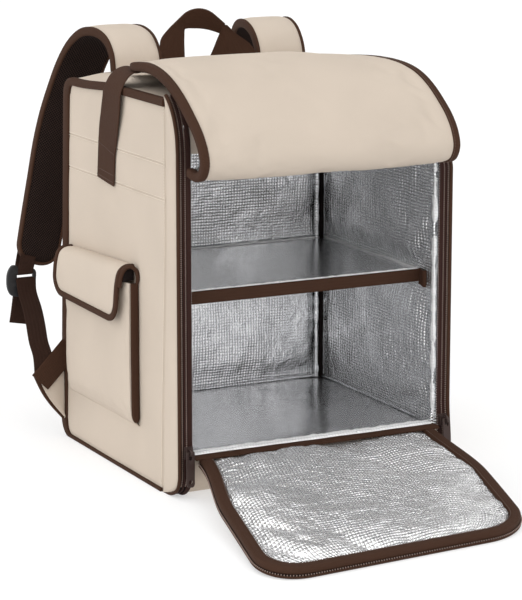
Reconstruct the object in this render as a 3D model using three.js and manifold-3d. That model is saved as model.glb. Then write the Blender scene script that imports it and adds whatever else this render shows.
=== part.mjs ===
// Insulated delivery backpack, standing on its base with the front open.
// Millimetres. +Z is up, the opening faces -Y, and the origin is the middle of the base on the floor.
import * as THREE from "three";
import { mergeVertices } from "three/addons/utils/BufferGeometryUtils.js";
import Module from "manifold-3d";

// Driving sizes of the box
const WIDTH = 356;
const DEPTH = 310;
const HEIGHT = 450;
const BACK_LEAN = 12;          // the base reaches this much further back than the top
const FRONT_RADIUS = 28;       // rounding of the two front edges, seen from the side
const BACK_RADIUS = 22;        // rounding of the two back edges, seen from the side
const SEAM_SET_BACK = 28;      // from the front plane to the side panel's vertical seam
const GAP = 0.3;
const ARC_STEPS = 5;

// Wall thicknesses
const WALL = 8;
const BACK_WALL = 10;
const LINING_SIDE = 10;
const LINING_CEILING = 6;
const SKIN = 2;
const RIM = 10;                // width of the lid's bound edges
const PIPING = 3.5;

// Bindings round the side panels
const TRIM = 2.5;
const TRIM_TOP = 8;
const TRIM_BACK = 14;
const TRIM_BASE = 4;

// Heights and depths of the inside
const SILL_TOP = 46;
const BACK_FACE_INSIDE = 131.5;
const SHELF_TOP = 226.5;
const SHELF_THICK = 12.5;
const SHELF_FRONT = -108;
const CORNER_STRIP = 6;
const SHELF_BAND = 4;          // thickness of the bound front edge of the shelf
const SHELF_TAB = { thick: 3, long: 22, below: 16, above: 6 };

// Front door, let down to the floor
const DOOR_LENGTH = 300;
const DOOR_HALF_AT_HINGE = 149;
const DOOR_HALF = 168;
const DOOR_CORNER = 56;
const DOOR_RIM = 15;           // width of the door's bound edge
const DOOR_THICK = 12;
const DOOR_SHELL = 6.5;
const DOOR_SKEW = 60;          // the free edge has been let down this far to the left
const DOOR_TILT = 0.047;       // share by which its left edge lies longer, and its right edge shorter
const DOOR_DROP = 36;
const DOOR_HINGE_Y = -158;

// Lid, thrown back over the top and curling at its free end
const LID_LEFT = -173;
const LID_RIGHT = 151;
const LID_THICK = 9;
const LID_FOIL = 2.5;
const LID_TAPER = 40;          // both edges draw in this far at the back, over the length below
const LID_TAPER_LONG = 80;
const LID_ROWS = [
  { y: 84, z: 459.4 },
  { y: 66, z: 459.8 },
  { y: 44, z: 465 },
  { y: 18, z: 472 },
  { y: -10, z: 477 },
  { y: -36, z: 480.5 },
  { y: -62, z: 482 },
  { y: -88, z: 479.5 },
  { y: -112, z: 473.5 },
  { y: -132, z: 465.5 },
  { y: -153, z: 454 },
  { y: -175, z: 438.5 },
  { y: -195, z: 422 },
  { y: -208, z: 405 },
  { y: -213, z: 388 },
  { y: -206, z: 373.5 },
  { y: -190, z: 367.5 },
  { y: -172, z: 370 },
];

// Shoulder strap on the left: its middle line from its root to its lower end
const STRAP_THICK = 7;
const STRAP_MESH = 2.7;
const STRAP_RIM = 5;
const STRAP_END_RADIUS = 24;
const STRAP_HALF = 33;
const STRAP_END_HALF = 28;
const STRAP_ROWS = [
  { x: -97, y: 128, z: 450.9 },
  { x: -97, y: 132, z: 468 },
  { x: -98, y: 146, z: 484 },
  { x: -101, y: 170, z: 492 },
  { x: -106, y: 200, z: 489 },
  { x: -112, y: 223, z: 474 },
  { x: -121, y: 240, z: 446 },
  { x: -135, y: 250, z: 397 },
  { x: -148, y: 252, z: 352 },
  { x: -160, y: 250, z: 303 },
  { x: -174, y: 243, z: 253 },
  { x: -188, y: 233, z: 203 },
];

// Ladder buckle and webbing below the strap
const WEBBING = 1.6;
const WEBBING_HALF = 12.5;
const TAB_HALF = 10;
const TAB_SHIFT = 14;          // the tab leaves the strap's end this far to the outer side
const BUCKLE = { x: -204, y0: 230, y1: 235, z0: 166, z1: 200, half: 18 };
const BUCKLE_BARS = [
  { z0: 169.5, z1: 179.5 },
  { z0: 183.5, z1: 195 },
];
const WEBBING_ROWS = [
  { x: -212, y: 153.7, z: 80 },
  { x: -213, y: 153.4, z: 108 },
  { x: -213, y: 162, z: 122 },
  { x: -209, y: 184, z: 138 },
  { x: -205, y: 207, z: 155 },
  { x: -204, y: 223.5, z: 170 },
  { x: -204, y: 227.6, z: 180 },
  { x: -204, y: 229.4, z: 185.2 },
  { x: -204, y: 232.5, z: 187 },
  { x: -204, y: 235.8, z: 185.2 },
  { x: -204, y: 237.6, z: 180 },
  { x: -205, y: 238.4, z: 168 },
  { x: -208, y: 238.6, z: 146 },
  { x: -211, y: 238, z: 130 },
];

// Wing sewn into the back seam, which the webbing is stitched to
const WING_FRONT = 155;
const WING_THICK = 3;
const WING_OUTLINE = [
  { out: 0, z: 124 },
  { out: 0, z: 24 },
  { out: 20, z: 44 },
  { out: 31, z: 60 },
  { out: 39, z: 75 },
  { out: 44, z: 85 },
  { out: 19, z: 107 },
];

// Grab strap that runs up the left side, over the top and down the right side
const GRAB_HALF = 24;
const GRAB_ROWS = [
  { x: -179.6, y: 33, z: 336 },
  { x: -179.6, y: 28, z: 378 },
  { x: -181.8, y: 16, z: 406 },
  { x: -183.4, y: 6, z: 430 },
  { x: -183.6, y: 3, z: 445 },
  { x: -181.8, y: 2, z: 453.2 },
  { x: -173.5, y: 1, z: 458.6 },
  { x: -163, y: 0, z: 459.4 },
  { x: -100, y: 0, z: 456 },
  { x: 0, y: 0, z: 455 },
  { x: 100, y: 0, z: 456 },
  { x: 163, y: 0, z: 459.4 },
  { x: 173.5, y: 1, z: 458.6 },
  { x: 181.8, y: 2, z: 453.2 },
  { x: 183.6, y: 3, z: 445 },
  { x: 183.4, y: 6, z: 430 },
  { x: 181.8, y: 16, z: 406 },
  { x: 179.6, y: 28, z: 378 },
  { x: 179.6, y: 33, z: 336 },
];

// Side pocket
const POCKET = { front: -52, back: 146, low: 62, high: 238, deep: 11 };
const POCKET_FLAP_RIM = 6;
const POCKET_FLAP_THICK = 3;
const POCKET_FLAP_HALF = 99;
const POCKET_FLAP_CORNER = 22;
const POCKET_FLAP_ROWS = [
  { out: 0.6, z: 250 },
  { out: 9, z: 249.5 },
  { out: 14.5, z: 245 },
  { out: 18, z: 232 },
  { out: 20, z: 210 },
  { out: 21, z: 181 },
];

// Zip, slider and pull
const ZIP_INNER = 160;
const ZIP_OUTER = 172;
const SLIDER = { x: -166, half: 5.5, z0: 48, z1: 62, y0: -162, y1: -157.6 };
const PULL = { x: -167, half: 5, thick: 2, bar: 2, length: 41, y: -166, z: 57 };
const PULL_SLOT = { half: 2.5, long: 8 };
const PULL_HOLE = { half: 3, from: 3, to: 9 };
const BAIL = { half: 1.5, outer: 4, inner: 1.8 };

// Handle at the back of the top
const HANDLE_Y = 125;
const HANDLE_THICK = 3;
const HANDLE_OUTER = [
  { x: -62, z: 450.6 },
  { x: -60, z: 484 },
  { x: -52, z: 495 },
  { x: -26, z: 516 },
  { x: -14, z: 519 },
  { x: 4, z: 514 },
  { x: 26, z: 498 },
  { x: 53, z: 474 },
  { x: 62, z: 450.6 },
];
const HANDLE_INNER = [
  { x: 30, z: 450.6 },
  { x: 22, z: 488 },
  { x: 0, z: 494 },
  { x: -28, z: 494 },
  { x: -31, z: 450.6 },
];

// Derived positions
const FRONT = -DEPTH / 2;
const BACK = DEPTH / 2;
const SIDE = WIDTH / 2;
const SEAM = FRONT + SEAM_SET_BACK;
const INSIDE = SIDE - WALL - LINING_SIDE;

const wasm = await Module();
wasm.setup();

const canvas = new THREE.MeshStandardMaterial({ color: 0xd6c8b8, roughness: 0.9 });
const brown = new THREE.MeshStandardMaterial({ color: 0x4b372d, roughness: 0.85 });
const foil = new THREE.MeshStandardMaterial({ color: 0xc9ccd0, roughness: 0.35, metalness: 0.8 });
const meshCloth = new THREE.MeshStandardMaterial({ color: 0x2a1d18, roughness: 0.95 });
const plastic = new THREE.MeshStandardMaterial({ color: 0x2d2b2d, roughness: 0.5 });
const metal = new THREE.MeshStandardMaterial({ color: 0x4a3a32, roughness: 0.45, metalness: 0.6 });

const bag = new THREE.Group();
bag.name = "insulated_delivery_backpack";

// A closed skin from points and triangles, turned so that its faces look outward.
function skin(points, faces) {
  let volume = 0;
  for (const [a, b, c] of faces) {
    const normal = new THREE.Vector3().crossVectors(points[b], points[c]);
    volume += points[a].dot(normal);
  }
  const index = faces.flatMap(([a, b, c]) => (volume > 0 ? [a, b, c] : [a, c, b]));
  const geometry = new THREE.BufferGeometry();
  const position = points.flatMap((p) => [p.x, p.y, p.z]);
  geometry.setAttribute("position", new THREE.Float32BufferAttribute(position, 3));
  geometry.setIndex(index);
  return geometry;
}

// A skin over a row of equal loops, with a flat cap at each end.
// Both halves of a loop split their squares the same way, so stacked layers stay apart.
function sweep(loops) {
  const count = loops[0].length;
  const last = (loops.length - 1) * count;
  const faces = [];
  for (let row = 0; row + 1 < loops.length; row++) {
    for (let k = 0; k < count; k++) {
      const a = row * count + k;
      const b = row * count + ((k + 1) % count);
      if (k < count / 2) {
        faces.push([a, b, b + count], [a, b + count, a + count]);
      } else {
        faces.push([a, b, a + count], [b, b + count, a + count]);
      }
    }
  }
  for (let k = 1; k + 1 < count; k++) {
    faces.push([0, k + 1, k], [last, last + k, last + k + 1]);
  }
  return skin(loops.flat(), faces);
}

// A flat outline raised between two heights; place turns (a, b, height) into a point.
function raise(outline, low, high, place) {
  const count = outline.length;
  const flat = outline.map(([a, b]) => new THREE.Vector2(a, b));
  if (THREE.ShapeUtils.isClockWise(flat)) {
    flat.reverse();
  }
  const points = [low, high].flatMap((h) => flat.map((p) => place(p.x, p.y, h)));
  const faces = [];
  for (const [a, b, c] of THREE.ShapeUtils.triangulateShape(flat, [])) {
    faces.push([a, c, b], [a + count, b + count, c + count]);
  }
  for (let k = 0; k < count; k++) {
    const next = (k + 1) % count;
    faces.push([k, next, next + count], [k, next + count, k + count]);
  }
  return skin(points, faces);
}

const alongX = (y, z, x) => new THREE.Vector3(x, y, z);
const alongY = (x, z, y) => new THREE.Vector3(x, y, z);
const alongZ = (x, y, z) => new THREE.Vector3(x, y, z);

function prismX(outline, x0, x1) {
  return raise(outline, x0, x1, alongX);
}

function block(x0, x1, y0, y1, z0, z1) {
  return prismX([[y0, z0], [y1, z0], [y1, z1], [y0, z1]], x0, x1);
}

// Solid joining and cutting
function toManifold(geometry) {
  const welded = mergeVertices(geometry, 1e-4);
  return new wasm.Manifold(new wasm.Mesh({
    numProp: 3,
    vertProperties: new Float32Array(welded.attributes.position.array),
    triVerts: new Uint32Array(welded.index.array),
  }));
}

function toGeometry(manifold) {
  const mesh = manifold.getMesh();
  const geometry = new THREE.BufferGeometry();
  geometry.setAttribute("position", new THREE.Float32BufferAttribute(mesh.vertProperties, 3));
  geometry.setIndex(Array.from(mesh.triVerts));
  return geometry;
}

function cut(body, ...tools) {
  return toGeometry(tools.reduce((m, tool) => m.subtract(toManifold(tool)), toManifold(body)));
}

function join(...bodies) {
  return toGeometry(bodies.map(toManifold).reduce((a, b) => a.add(b)));
}

function add(name, geometry, material) {
  const mesh = new THREE.Mesh(geometry, material);
  mesh.name = name;
  bag.add(mesh);
}

// The same piece on the left and, mirrored, on the right.
function pair(name, geometry, material) {
  add(`${name}_left`, geometry, material);
  const position = geometry.attributes.position;
  const points = [];
  for (let k = 0; k < position.count; k++) {
    points.push(new THREE.Vector3(-position.getX(k), position.getY(k), position.getZ(k)));
  }
  const faces = [];
  for (let k = 0; k < geometry.index.count; k += 3) {
    faces.push([geometry.index.getX(k), geometry.index.getX(k + 1), geometry.index.getX(k + 2)]);
  }
  add(`${name}_right`, skin(points, faces), material);
}

// The side outline of the box: four rounded corners, going round base, back, top and front.
const CORNERS = {
  frontBottom: { y: FRONT, z: 0, radius: FRONT_RADIUS },
  backBottom: { y: BACK + BACK_LEAN, z: 0, radius: BACK_RADIUS },
  backTop: { y: BACK, z: HEIGHT, radius: BACK_RADIUS },
  frontTop: { y: FRONT, z: HEIGHT, radius: FRONT_RADIUS },
};
const CORNER_ORDER = Object.keys(CORNERS);

function outwardNormal(from, to) {
  const length = Math.hypot(to.y - from.y, to.z - from.z);
  return { y: (to.z - from.z) / length, z: -(to.y - from.y) / length };
}

// Points round one corner, moved outward by offset; part stops short of the whole corner.
function corner(name, offset, part = 1) {
  const turnAt = CORNER_ORDER.indexOf(name);
  const here = CORNERS[name];
  const before = outwardNormal(CORNERS[CORNER_ORDER[(turnAt + 3) % 4]], here);
  const after = outwardNormal(here, CORNERS[CORNER_ORDER[(turnAt + 1) % 4]]);
  const reach = here.radius / (1 + before.y * after.y + before.z * after.z);
  const centre = { y: here.y - (before.y + after.y) * reach, z: here.z - (before.z + after.z) * reach };
  const start = Math.atan2(before.z, before.y);
  const turn = (Math.atan2(after.z, after.y) - start + 4 * Math.PI) % (2 * Math.PI);
  const points = [];
  for (let k = 0; k <= ARC_STEPS; k++) {
    const angle = start + (turn * part * k) / ARC_STEPS;
    const radius = here.radius + offset;
    points.push([centre.y + radius * Math.cos(angle), centre.z + radius * Math.sin(angle)]);
  }
  return points;
}

// A wall that follows a path of the outline between an outer and an inner offset.
function band(path, outer, inner, x0, x1) {
  return prismX([...path(outer), ...path(inner).reverse()], x0, x1);
}

// A panel over rows of its own plane: half(b) is its half width at distance b.
function panel(stations, half, low, high, place, middle = 0) {
  return sweep(stations.map((b) => {
    const h = half(b);
    return [
      place(middle - h, b, low),
      place(middle + h, b, low),
      place(middle + h, b, high),
      place(middle - h, b, high),
    ];
  }));
}

// The bound edge of a panel: down one side, round the free end and back up the other side.
function rim(path, width, low, high, place) {
  const loops = path.map(([a, b], k) => {
    const before = path[Math.max(k - 1, 0)];
    const after = path[Math.min(k + 1, path.length - 1)];
    const length = Math.hypot(after[0] - before[0], after[1] - before[1]);
    const inward = [(after[1] - before[1]) / length, (before[0] - after[0]) / length];
    const inner = [a + inward[0] * width, b + inward[1] * width];
    return [place(a, b, low), place(a, b, high), place(...inner, high), place(...inner, low)];
  });
  return sweep(loops);
}

// Half width of a panel with a rounded free end, drawn in from its edge by inset.
function roundedHalf(half, length, radius, inset) {
  const end = length - inset;
  const turn = radius - inset;
  return (b) => {
    const past = Math.min(Math.max(b - (end - turn), 0), turn);
    return half(b) - inset - (turn - Math.sqrt(turn * turn - past * past));
  };
}

function stationsTo(length, radius, inset, count) {
  const end = length - inset;
  const turn = radius - inset;
  const rows = [];
  for (let k = 0; k <= count; k++) {
    rows.push(((end - turn) * k) / count);
  }
  for (let k = 1; k <= ARC_STEPS; k++) {
    rows.push(end - turn + turn * Math.sin((Math.PI / 2) * (k / ARC_STEPS)));
  }
  return rows;
}

// The edge path of such a panel, from the root of one side round to the root of the other.
function edgePath(half, length, radius, count, outset = 0) {
  const edge = roundedHalf(half, length, radius, -outset);
  const rows = stationsTo(length, radius, -outset, count);
  const left = rows.map((b) => [-edge(b), b]);
  const right = rows.map((b) => [edge(b), b]).reverse();
  return [...left, ...right];
}

// A ribbon along a line of points: its flat side lies across the line and as near X as it can.
function frameOn(curve) {
  const length = curve.getLength();
  return (a, b, h) => {
    const t = Math.min(Math.max(b / length, 0), 1);
    const along = curve.getTangentAt(t);
    const across = new THREE.Vector3(1, 0, 0).addScaledVector(along, -along.x).normalize();
    const face = new THREE.Vector3().crossVectors(across, along);
    return curve.getPointAt(t).addScaledVector(across, a).addScaledVector(face, h);
  };
}

function curveThrough(rows) {
  return new THREE.CatmullRomCurve3(rows.map((r) => new THREE.Vector3(r.x ?? 0, r.y, r.z)), false, "centripetal");
}

function evenly(length, count) {
  return Array.from({ length: count + 1 }, (_, k) => (length * k) / count);
}

// Box walls
const backJoin = BACK - BACK_RADIUS - 4;
const baseJoin = BACK + BACK_LEAN - BACK_RADIUS - 6;
const wallEdge = SIDE - WALL - GAP;

pair("side_panel", prismX([
  [SEAM, 0],
  ...corner("backBottom", 0),
  ...corner("backTop", 0),
  [SEAM, HEIGHT],
], -SIDE, -SIDE + WALL), canvas);

pair("front_gusset", prismX([
  [SEAM - GAP, HEIGHT],
  ...corner("frontTop", 0).slice(1),
  ...corner("frontBottom", 0).slice(0, -1),
  [SEAM - GAP, 0],
], -SIDE, -SIDE + WALL), canvas);

add("top_panel", band((o) => [
  [backJoin, HEIGHT + o],
  ...corner("frontTop", o),
], 0, -WALL, -wallEdge, wallEdge), canvas);

add("back_panel", band((o) => [
  [baseJoin + GAP, -o],
  ...corner("backBottom", o),
  ...corner("backTop", o),
  [backJoin + GAP, HEIGHT + o],
], 0, -BACK_WALL, -wallEdge, wallEdge), canvas);

add("base_panel", block(-wallEdge, wallEdge, SEAM, baseJoin, 0, WALL), canvas);

add("front_sill", band((o) => [
  [FRONT - o, SILL_TOP],
  ...corner("frontBottom", o).slice(0, -1),
  [SEAM - GAP, -o],
], 0, -WALL, -wallEdge, wallEdge), canvas);

// Bindings round the side panels: a wide one up the back, narrower ones along top and base
const leanAt = (z) => BACK + BACK_LEAN * (1 - z / HEIGHT);
pair("side_binding", prismX([
  [SEAM, 0],
  ...corner("backBottom", 0),
  ...corner("backTop", 0),
  [SEAM, HEIGHT],
  [SEAM, HEIGHT - TRIM_TOP],
  [BACK - BACK_RADIUS, HEIGHT - TRIM_TOP],
  [leanAt(HEIGHT - BACK_RADIUS) - TRIM_BACK, HEIGHT - BACK_RADIUS],
  [leanAt(BACK_RADIUS) - TRIM_BACK, BACK_RADIUS],
  [BACK + BACK_LEAN - BACK_RADIUS, TRIM_BASE],
  [SEAM, TRIM_BASE],
], -SIDE - GAP - TRIM, -SIDE - GAP), brown);

// Piping and zip tape up both edges of the opening
pair("front_piping", band((o) => [
  ...corner("frontTop", o),
  ...corner("frontBottom", o, 0.6),
], GAP + PIPING, GAP, -SIDE, -ZIP_OUTER - GAP), brown);
pair("zip_tape", band((o) => [
  ...corner("frontTop", o),
  [FRONT - o, SILL_TOP + 3],
], GAP + SKIN, GAP, -ZIP_OUTER, -ZIP_INNER), brown);

// Foil lining
const headBottom = HEIGHT - FRONT_RADIUS;
const ceiling = HEIGHT - WALL - GAP - LINING_CEILING;
pair("lining_side", prismX([
  [FRONT + GAP, SILL_TOP + GAP],
  [FRONT + GAP, headBottom - GAP],
  [FRONT + WALL + GAP, headBottom - GAP],
  [SEAM - 6, ceiling - GAP],
  [BACK_FACE_INSIDE - GAP, ceiling - GAP],
  [BACK_FACE_INSIDE - GAP, SILL_TOP + GAP],
], -wallEdge, -INSIDE), foil);
const backInner = (z) => leanAt(z) - BACK_WALL - 2 * GAP;
const bendTop = HEIGHT - BACK_RADIUS;
add("lining_back", prismX([
  [BACK_FACE_INSIDE, SILL_TOP + GAP],
  [backInner(SILL_TOP), SILL_TOP + GAP],
  [backInner(bendTop), bendTop],
  [backInner(bendTop) - 4, ceiling - GAP],
  [BACK_FACE_INSIDE, ceiling - GAP],
], -wallEdge, wallEdge), foil);
add("lining_ceiling", block(
  -wallEdge, wallEdge, SEAM + 2, backJoin - GAP, ceiling, HEIGHT - WALL - GAP,
), foil);
const floorFoot = CORNERS.backBottom.y - BACK_RADIUS - 2;
add("lining_floor", prismX([
  [FRONT + WALL + GAP, SILL_TOP],
  [FRONT + WALL + GAP, FRONT_RADIUS],
  [SEAM, WALL + GAP],
  [baseJoin - 2, WALL + GAP],
  [baseJoin, BACK_WALL + GAP],
  [floorFoot, BACK_WALL + GAP],
  [backInner(BACK_RADIUS), BACK_RADIUS],
  [backInner(SILL_TOP), SILL_TOP],
], -wallEdge, wallEdge), foil);
const cornerOuter = INSIDE - GAP;
pair("corner_strip", block(
  -cornerOuter, -cornerOuter + CORNER_STRIP,
  BACK_FACE_INSIDE - GAP - CORNER_STRIP, BACK_FACE_INSIDE - GAP,
  SILL_TOP + GAP, ceiling - GAP,
), brown);

// Shelf
const shelfBack = BACK_FACE_INSIDE - GAP;
const shelfCut = CORNER_STRIP + 2;
add("shelf_board", raise([
  [-cornerOuter, SHELF_FRONT],
  [cornerOuter, SHELF_FRONT],
  [cornerOuter, shelfBack - shelfCut],
  [cornerOuter - shelfCut, shelfBack - shelfCut],
  [cornerOuter - shelfCut, shelfBack],
  [-cornerOuter + shelfCut, shelfBack],
  [-cornerOuter + shelfCut, shelfBack - shelfCut],
  [-cornerOuter, shelfBack - shelfCut],
], SHELF_TOP - SHELF_THICK, SHELF_TOP, alongZ), foil);
add("shelf_binding", block(
  -cornerOuter, cornerOuter,
  SHELF_FRONT - SHELF_BAND, SHELF_FRONT - GAP,
  SHELF_TOP - SHELF_THICK - 1, SHELF_TOP + 1,
), brown);
pair("shelf_tab", block(
  -cornerOuter, -cornerOuter + SHELF_TAB.thick,
  SHELF_FRONT - SHELF_TAB.long, SHELF_FRONT - SHELF_BAND - GAP,
  SHELF_TOP - SHELF_TAB.below, SHELF_TOP + SHELF_TAB.above,
), brown);

// Door
function smooth(t) {
  const k = Math.min(Math.max(t, 0), 1);
  return k * k * (3 - 2 * k);
}
const doorHalf = (b) => DOOR_HALF_AT_HINGE + (DOOR_HALF - DOOR_HALF_AT_HINGE) * smooth(b / DOOR_LENGTH / 0.45);
function doorPlace(a, b, h) {
  const v = Math.min(Math.max(b / DOOR_LENGTH, 0), 1);
  const z = DOOR_DROP * (1 - v) ** 1.25;
  const reach = b * (1 - DOOR_TILT * v * a / DOOR_HALF);
  return new THREE.Vector3(a - DOOR_SKEW * v ** 1.25, DOOR_HINGE_Y - reach, z + h);
}
const doorInset = DOOR_RIM + 2 * GAP;
const doorRows = stationsTo(DOOR_LENGTH, DOOR_CORNER, doorInset, 10);
const doorInner = roundedHalf(doorHalf, DOOR_LENGTH, DOOR_CORNER, doorInset);
add("door_shell", panel(doorRows, doorInner, 0, DOOR_SHELL, doorPlace), canvas);
add("door_lining", panel(doorRows, doorInner, DOOR_SHELL + GAP, DOOR_THICK, doorPlace), foil);
add("door_binding", rim(edgePath(doorHalf, DOOR_LENGTH, DOOR_CORNER, 10), DOOR_RIM, 0, DOOR_THICK, doorPlace), brown);
const doorZipPath = edgePath(doorHalf, DOOR_LENGTH, DOOR_CORNER, 10, SKIN + GAP);
add("door_zip", rim(doorZipPath, SKIN, 4, 8, doorPlace), brown);
add("door_hinge", block(
  -ZIP_INNER + 2, ZIP_INNER - 2, DOOR_HINGE_Y + GAP, FRONT + WALL, SILL_TOP + GAP, SILL_TOP + SKIN + GAP,
), brown);

// Lid
const lidCurve = curveThrough(LID_ROWS);
const lidLength = lidCurve.getLength();
const lidPlace = frameOn(lidCurve);
const lidMiddle = (LID_LEFT + LID_RIGHT) / 2;
const lidHalf = (LID_RIGHT - LID_LEFT) / 2;
const lidRows = evenly(lidLength, 26);
const lidTaper = (b) => LID_TAPER * (1 - smooth(b / LID_TAPER_LONG));
const lidInner = (b) => lidHalf - RIM - GAP - lidTaper(b);
const lidEdge = () => RIM / 2;
add("lid_shell", panel(lidRows, lidInner, 0, LID_THICK - LID_FOIL - GAP, lidPlace, lidMiddle), canvas);
add("lid_lining", panel(lidRows, lidInner, LID_THICK - LID_FOIL, LID_THICK, lidPlace, lidMiddle), foil);
const lidLeftPlace = (a, b, h) => lidPlace(a + lidTaper(b), b, h);
const lidRightPlace = (a, b, h) => lidPlace(a - lidTaper(b), b, h);
add("lid_binding_left", panel(lidRows, lidEdge, 0, LID_THICK, lidLeftPlace, LID_LEFT + RIM / 2), brown);
add("lid_binding_right", panel(lidRows, lidEdge, 0, LID_THICK, lidRightPlace, LID_RIGHT - RIM / 2), brown);

// Side pocket on the left
const pocketFace = -SIDE - GAP;
add("pocket_pouch", cut(
  block(pocketFace - POCKET.deep, pocketFace, POCKET.front, POCKET.back, POCKET.low, POCKET.high),
  block(
    pocketFace - POCKET.deep + SKIN, pocketFace + 1,
    POCKET.front + SKIN, POCKET.back - SKIN, POCKET.low + SKIN, POCKET.high + 1,
  ),
), canvas);
add("pocket_gusset", raise([
  [pocketFace, POCKET.high + 6],
  [pocketFace - POCKET.deep - 1, POCKET.high + 6],
  [pocketFace - POCKET.deep - 1, POCKET.low + 14],
  [pocketFace - 3, POCKET.low],
  [pocketFace, POCKET.low],
], POCKET.front - 3, POCKET.front - GAP, alongY), brown);
const flapCurve = curveThrough(POCKET_FLAP_ROWS.map((r) => ({ y: r.out, z: r.z })));
const flapLength = flapCurve.getLength();
const flapMiddle = (POCKET.front + POCKET.back) / 2 - 1;
function flapPlace(a, b, h) {
  const t = Math.min(Math.max(b / flapLength, 0), 1);
  const point = flapCurve.getPointAt(t);
  const along = flapCurve.getTangentAt(t);
  return new THREE.Vector3(-SIDE - point.y + along.z * h, flapMiddle - a, point.z + along.y * h);
}
const flapHalf = () => POCKET_FLAP_HALF;
const flapInset = POCKET_FLAP_RIM + GAP;
const flapRows = stationsTo(flapLength, POCKET_FLAP_CORNER, flapInset, 8);
const flapInner = roundedHalf(flapHalf, flapLength, POCKET_FLAP_CORNER, flapInset);
add("pocket_flap", panel(flapRows, flapInner, 0, POCKET_FLAP_THICK, flapPlace), canvas);
const flapPath = edgePath(flapHalf, flapLength, POCKET_FLAP_CORNER, 8);
add("pocket_flap_binding", rim(flapPath, POCKET_FLAP_RIM, 0, POCKET_FLAP_THICK + 1, flapPlace), brown);

// Grab strap
const grabCurve = curveThrough(GRAB_ROWS);
function grabPlace(a, b, h) {
  const t = b / grabCurve.getLength();
  const along = grabCurve.getTangentAt(Math.min(t, 1));
  const across = new THREE.Vector3(0, 1, 0).addScaledVector(along, -along.y).normalize();
  const face = new THREE.Vector3().crossVectors(across, along);
  return grabCurve.getPointAt(Math.min(t, 1)).addScaledVector(across, a).addScaledVector(face, h);
}
add("grab_strap", panel(evenly(grabCurve.getLength(), 90), () => GRAB_HALF, -SKIN / 2, SKIN / 2, grabPlace), brown);

// Handle on the top
add("top_handle", raise(
  [...HANDLE_OUTER, ...HANDLE_INNER].map((p) => [p.x, p.z]), HANDLE_Y, HANDLE_Y + HANDLE_THICK, alongY,
), brown);

// Shoulder straps
const strapCurve = curveThrough(STRAP_ROWS);
const strapLength = strapCurve.getLength();
const strapPlace = frameOn(strapCurve);
const strapHalf = (b) => STRAP_HALF + (STRAP_END_HALF - STRAP_HALF) * smooth((b / strapLength - 0.4) / 0.6);
const strapInset = STRAP_RIM + 2 * GAP;
const strapRows = stationsTo(strapLength, STRAP_END_RADIUS, strapInset, 20);
const strapInner = roundedHalf(strapHalf, strapLength, STRAP_END_RADIUS, strapInset);
const strapPath = edgePath(strapHalf, strapLength, STRAP_END_RADIUS, 20);
pair("strap_pad", panel(strapRows, strapInner, 0, STRAP_THICK, strapPlace), canvas);
pair("strap_mesh", panel(strapRows, strapInner, -GAP - STRAP_MESH, -GAP, strapPlace), meshCloth);
pair("strap_binding", rim(strapPath, STRAP_RIM, -GAP - STRAP_MESH, STRAP_THICK, strapPlace), brown);

// Ladder buckle, the tab that ties it to the strap, and the webbing through it
const slotHalf = WEBBING_HALF + 1;
pair("ladder_buckle", cut(
  block(BUCKLE.x - BUCKLE.half, BUCKLE.x + BUCKLE.half, BUCKLE.y0, BUCKLE.y1, BUCKLE.z0, BUCKLE.z1),
  ...BUCKLE_BARS.map((slot) => block(
    BUCKLE.x - slotHalf, BUCKLE.x + slotHalf, BUCKLE.y0 - 1, BUCKLE.y1 + 1, slot.z0, slot.z1,
  )),
), plastic);
const tabFace = (b, h) => strapPlace(-TAB_SHIFT, strapLength - b, h);
const tabInside = -GAP - STRAP_MESH - WEBBING;
const tabOutside = STRAP_THICK + WEBBING + GAP;
const tabCurve = curveThrough([
  tabFace(20, tabInside),
  tabFace(0, tabInside),
  { x: BUCKLE.x, y: BUCKLE.y0 - 1.7, z: BUCKLE.z1 - 1 },
  { x: BUCKLE.x, y: BUCKLE.y0 - 0.8, z: BUCKLE_BARS[1].z1 - 1 },
  { x: BUCKLE.x, y: (BUCKLE.y0 + BUCKLE.y1) / 2, z: BUCKLE_BARS[1].z1 - 2.2 },
  { x: BUCKLE.x, y: BUCKLE.y1 + 0.8, z: BUCKLE_BARS[1].z1 - 1 },
  { x: BUCKLE.x, y: BUCKLE.y1 + 1.7, z: BUCKLE.z1 - 1 },
  tabFace(0, tabOutside),
  tabFace(20, tabOutside),
]);
const tabRows = evenly(tabCurve.getLength(), 30);
pair("strap_tab", panel(tabRows, () => TAB_HALF, -WEBBING / 2, WEBBING / 2, frameOn(tabCurve)), brown);
const webCurve = curveThrough(WEBBING_ROWS);
const webRows = evenly(webCurve.getLength(), 48);
const webPlace = frameOn(webCurve);
pair("strap_webbing", panel(webRows, () => WEBBING_HALF, -WEBBING / 2, WEBBING / 2, webPlace), brown);

// Wings
const wingRoot = -SIDE - GAP - TRIM - GAP;
pair("anchor_wing", raise(
  WING_OUTLINE.map((p) => [wingRoot - p.out, p.z]), WING_FRONT, WING_FRONT + WING_THICK, alongY,
), canvas);

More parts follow.
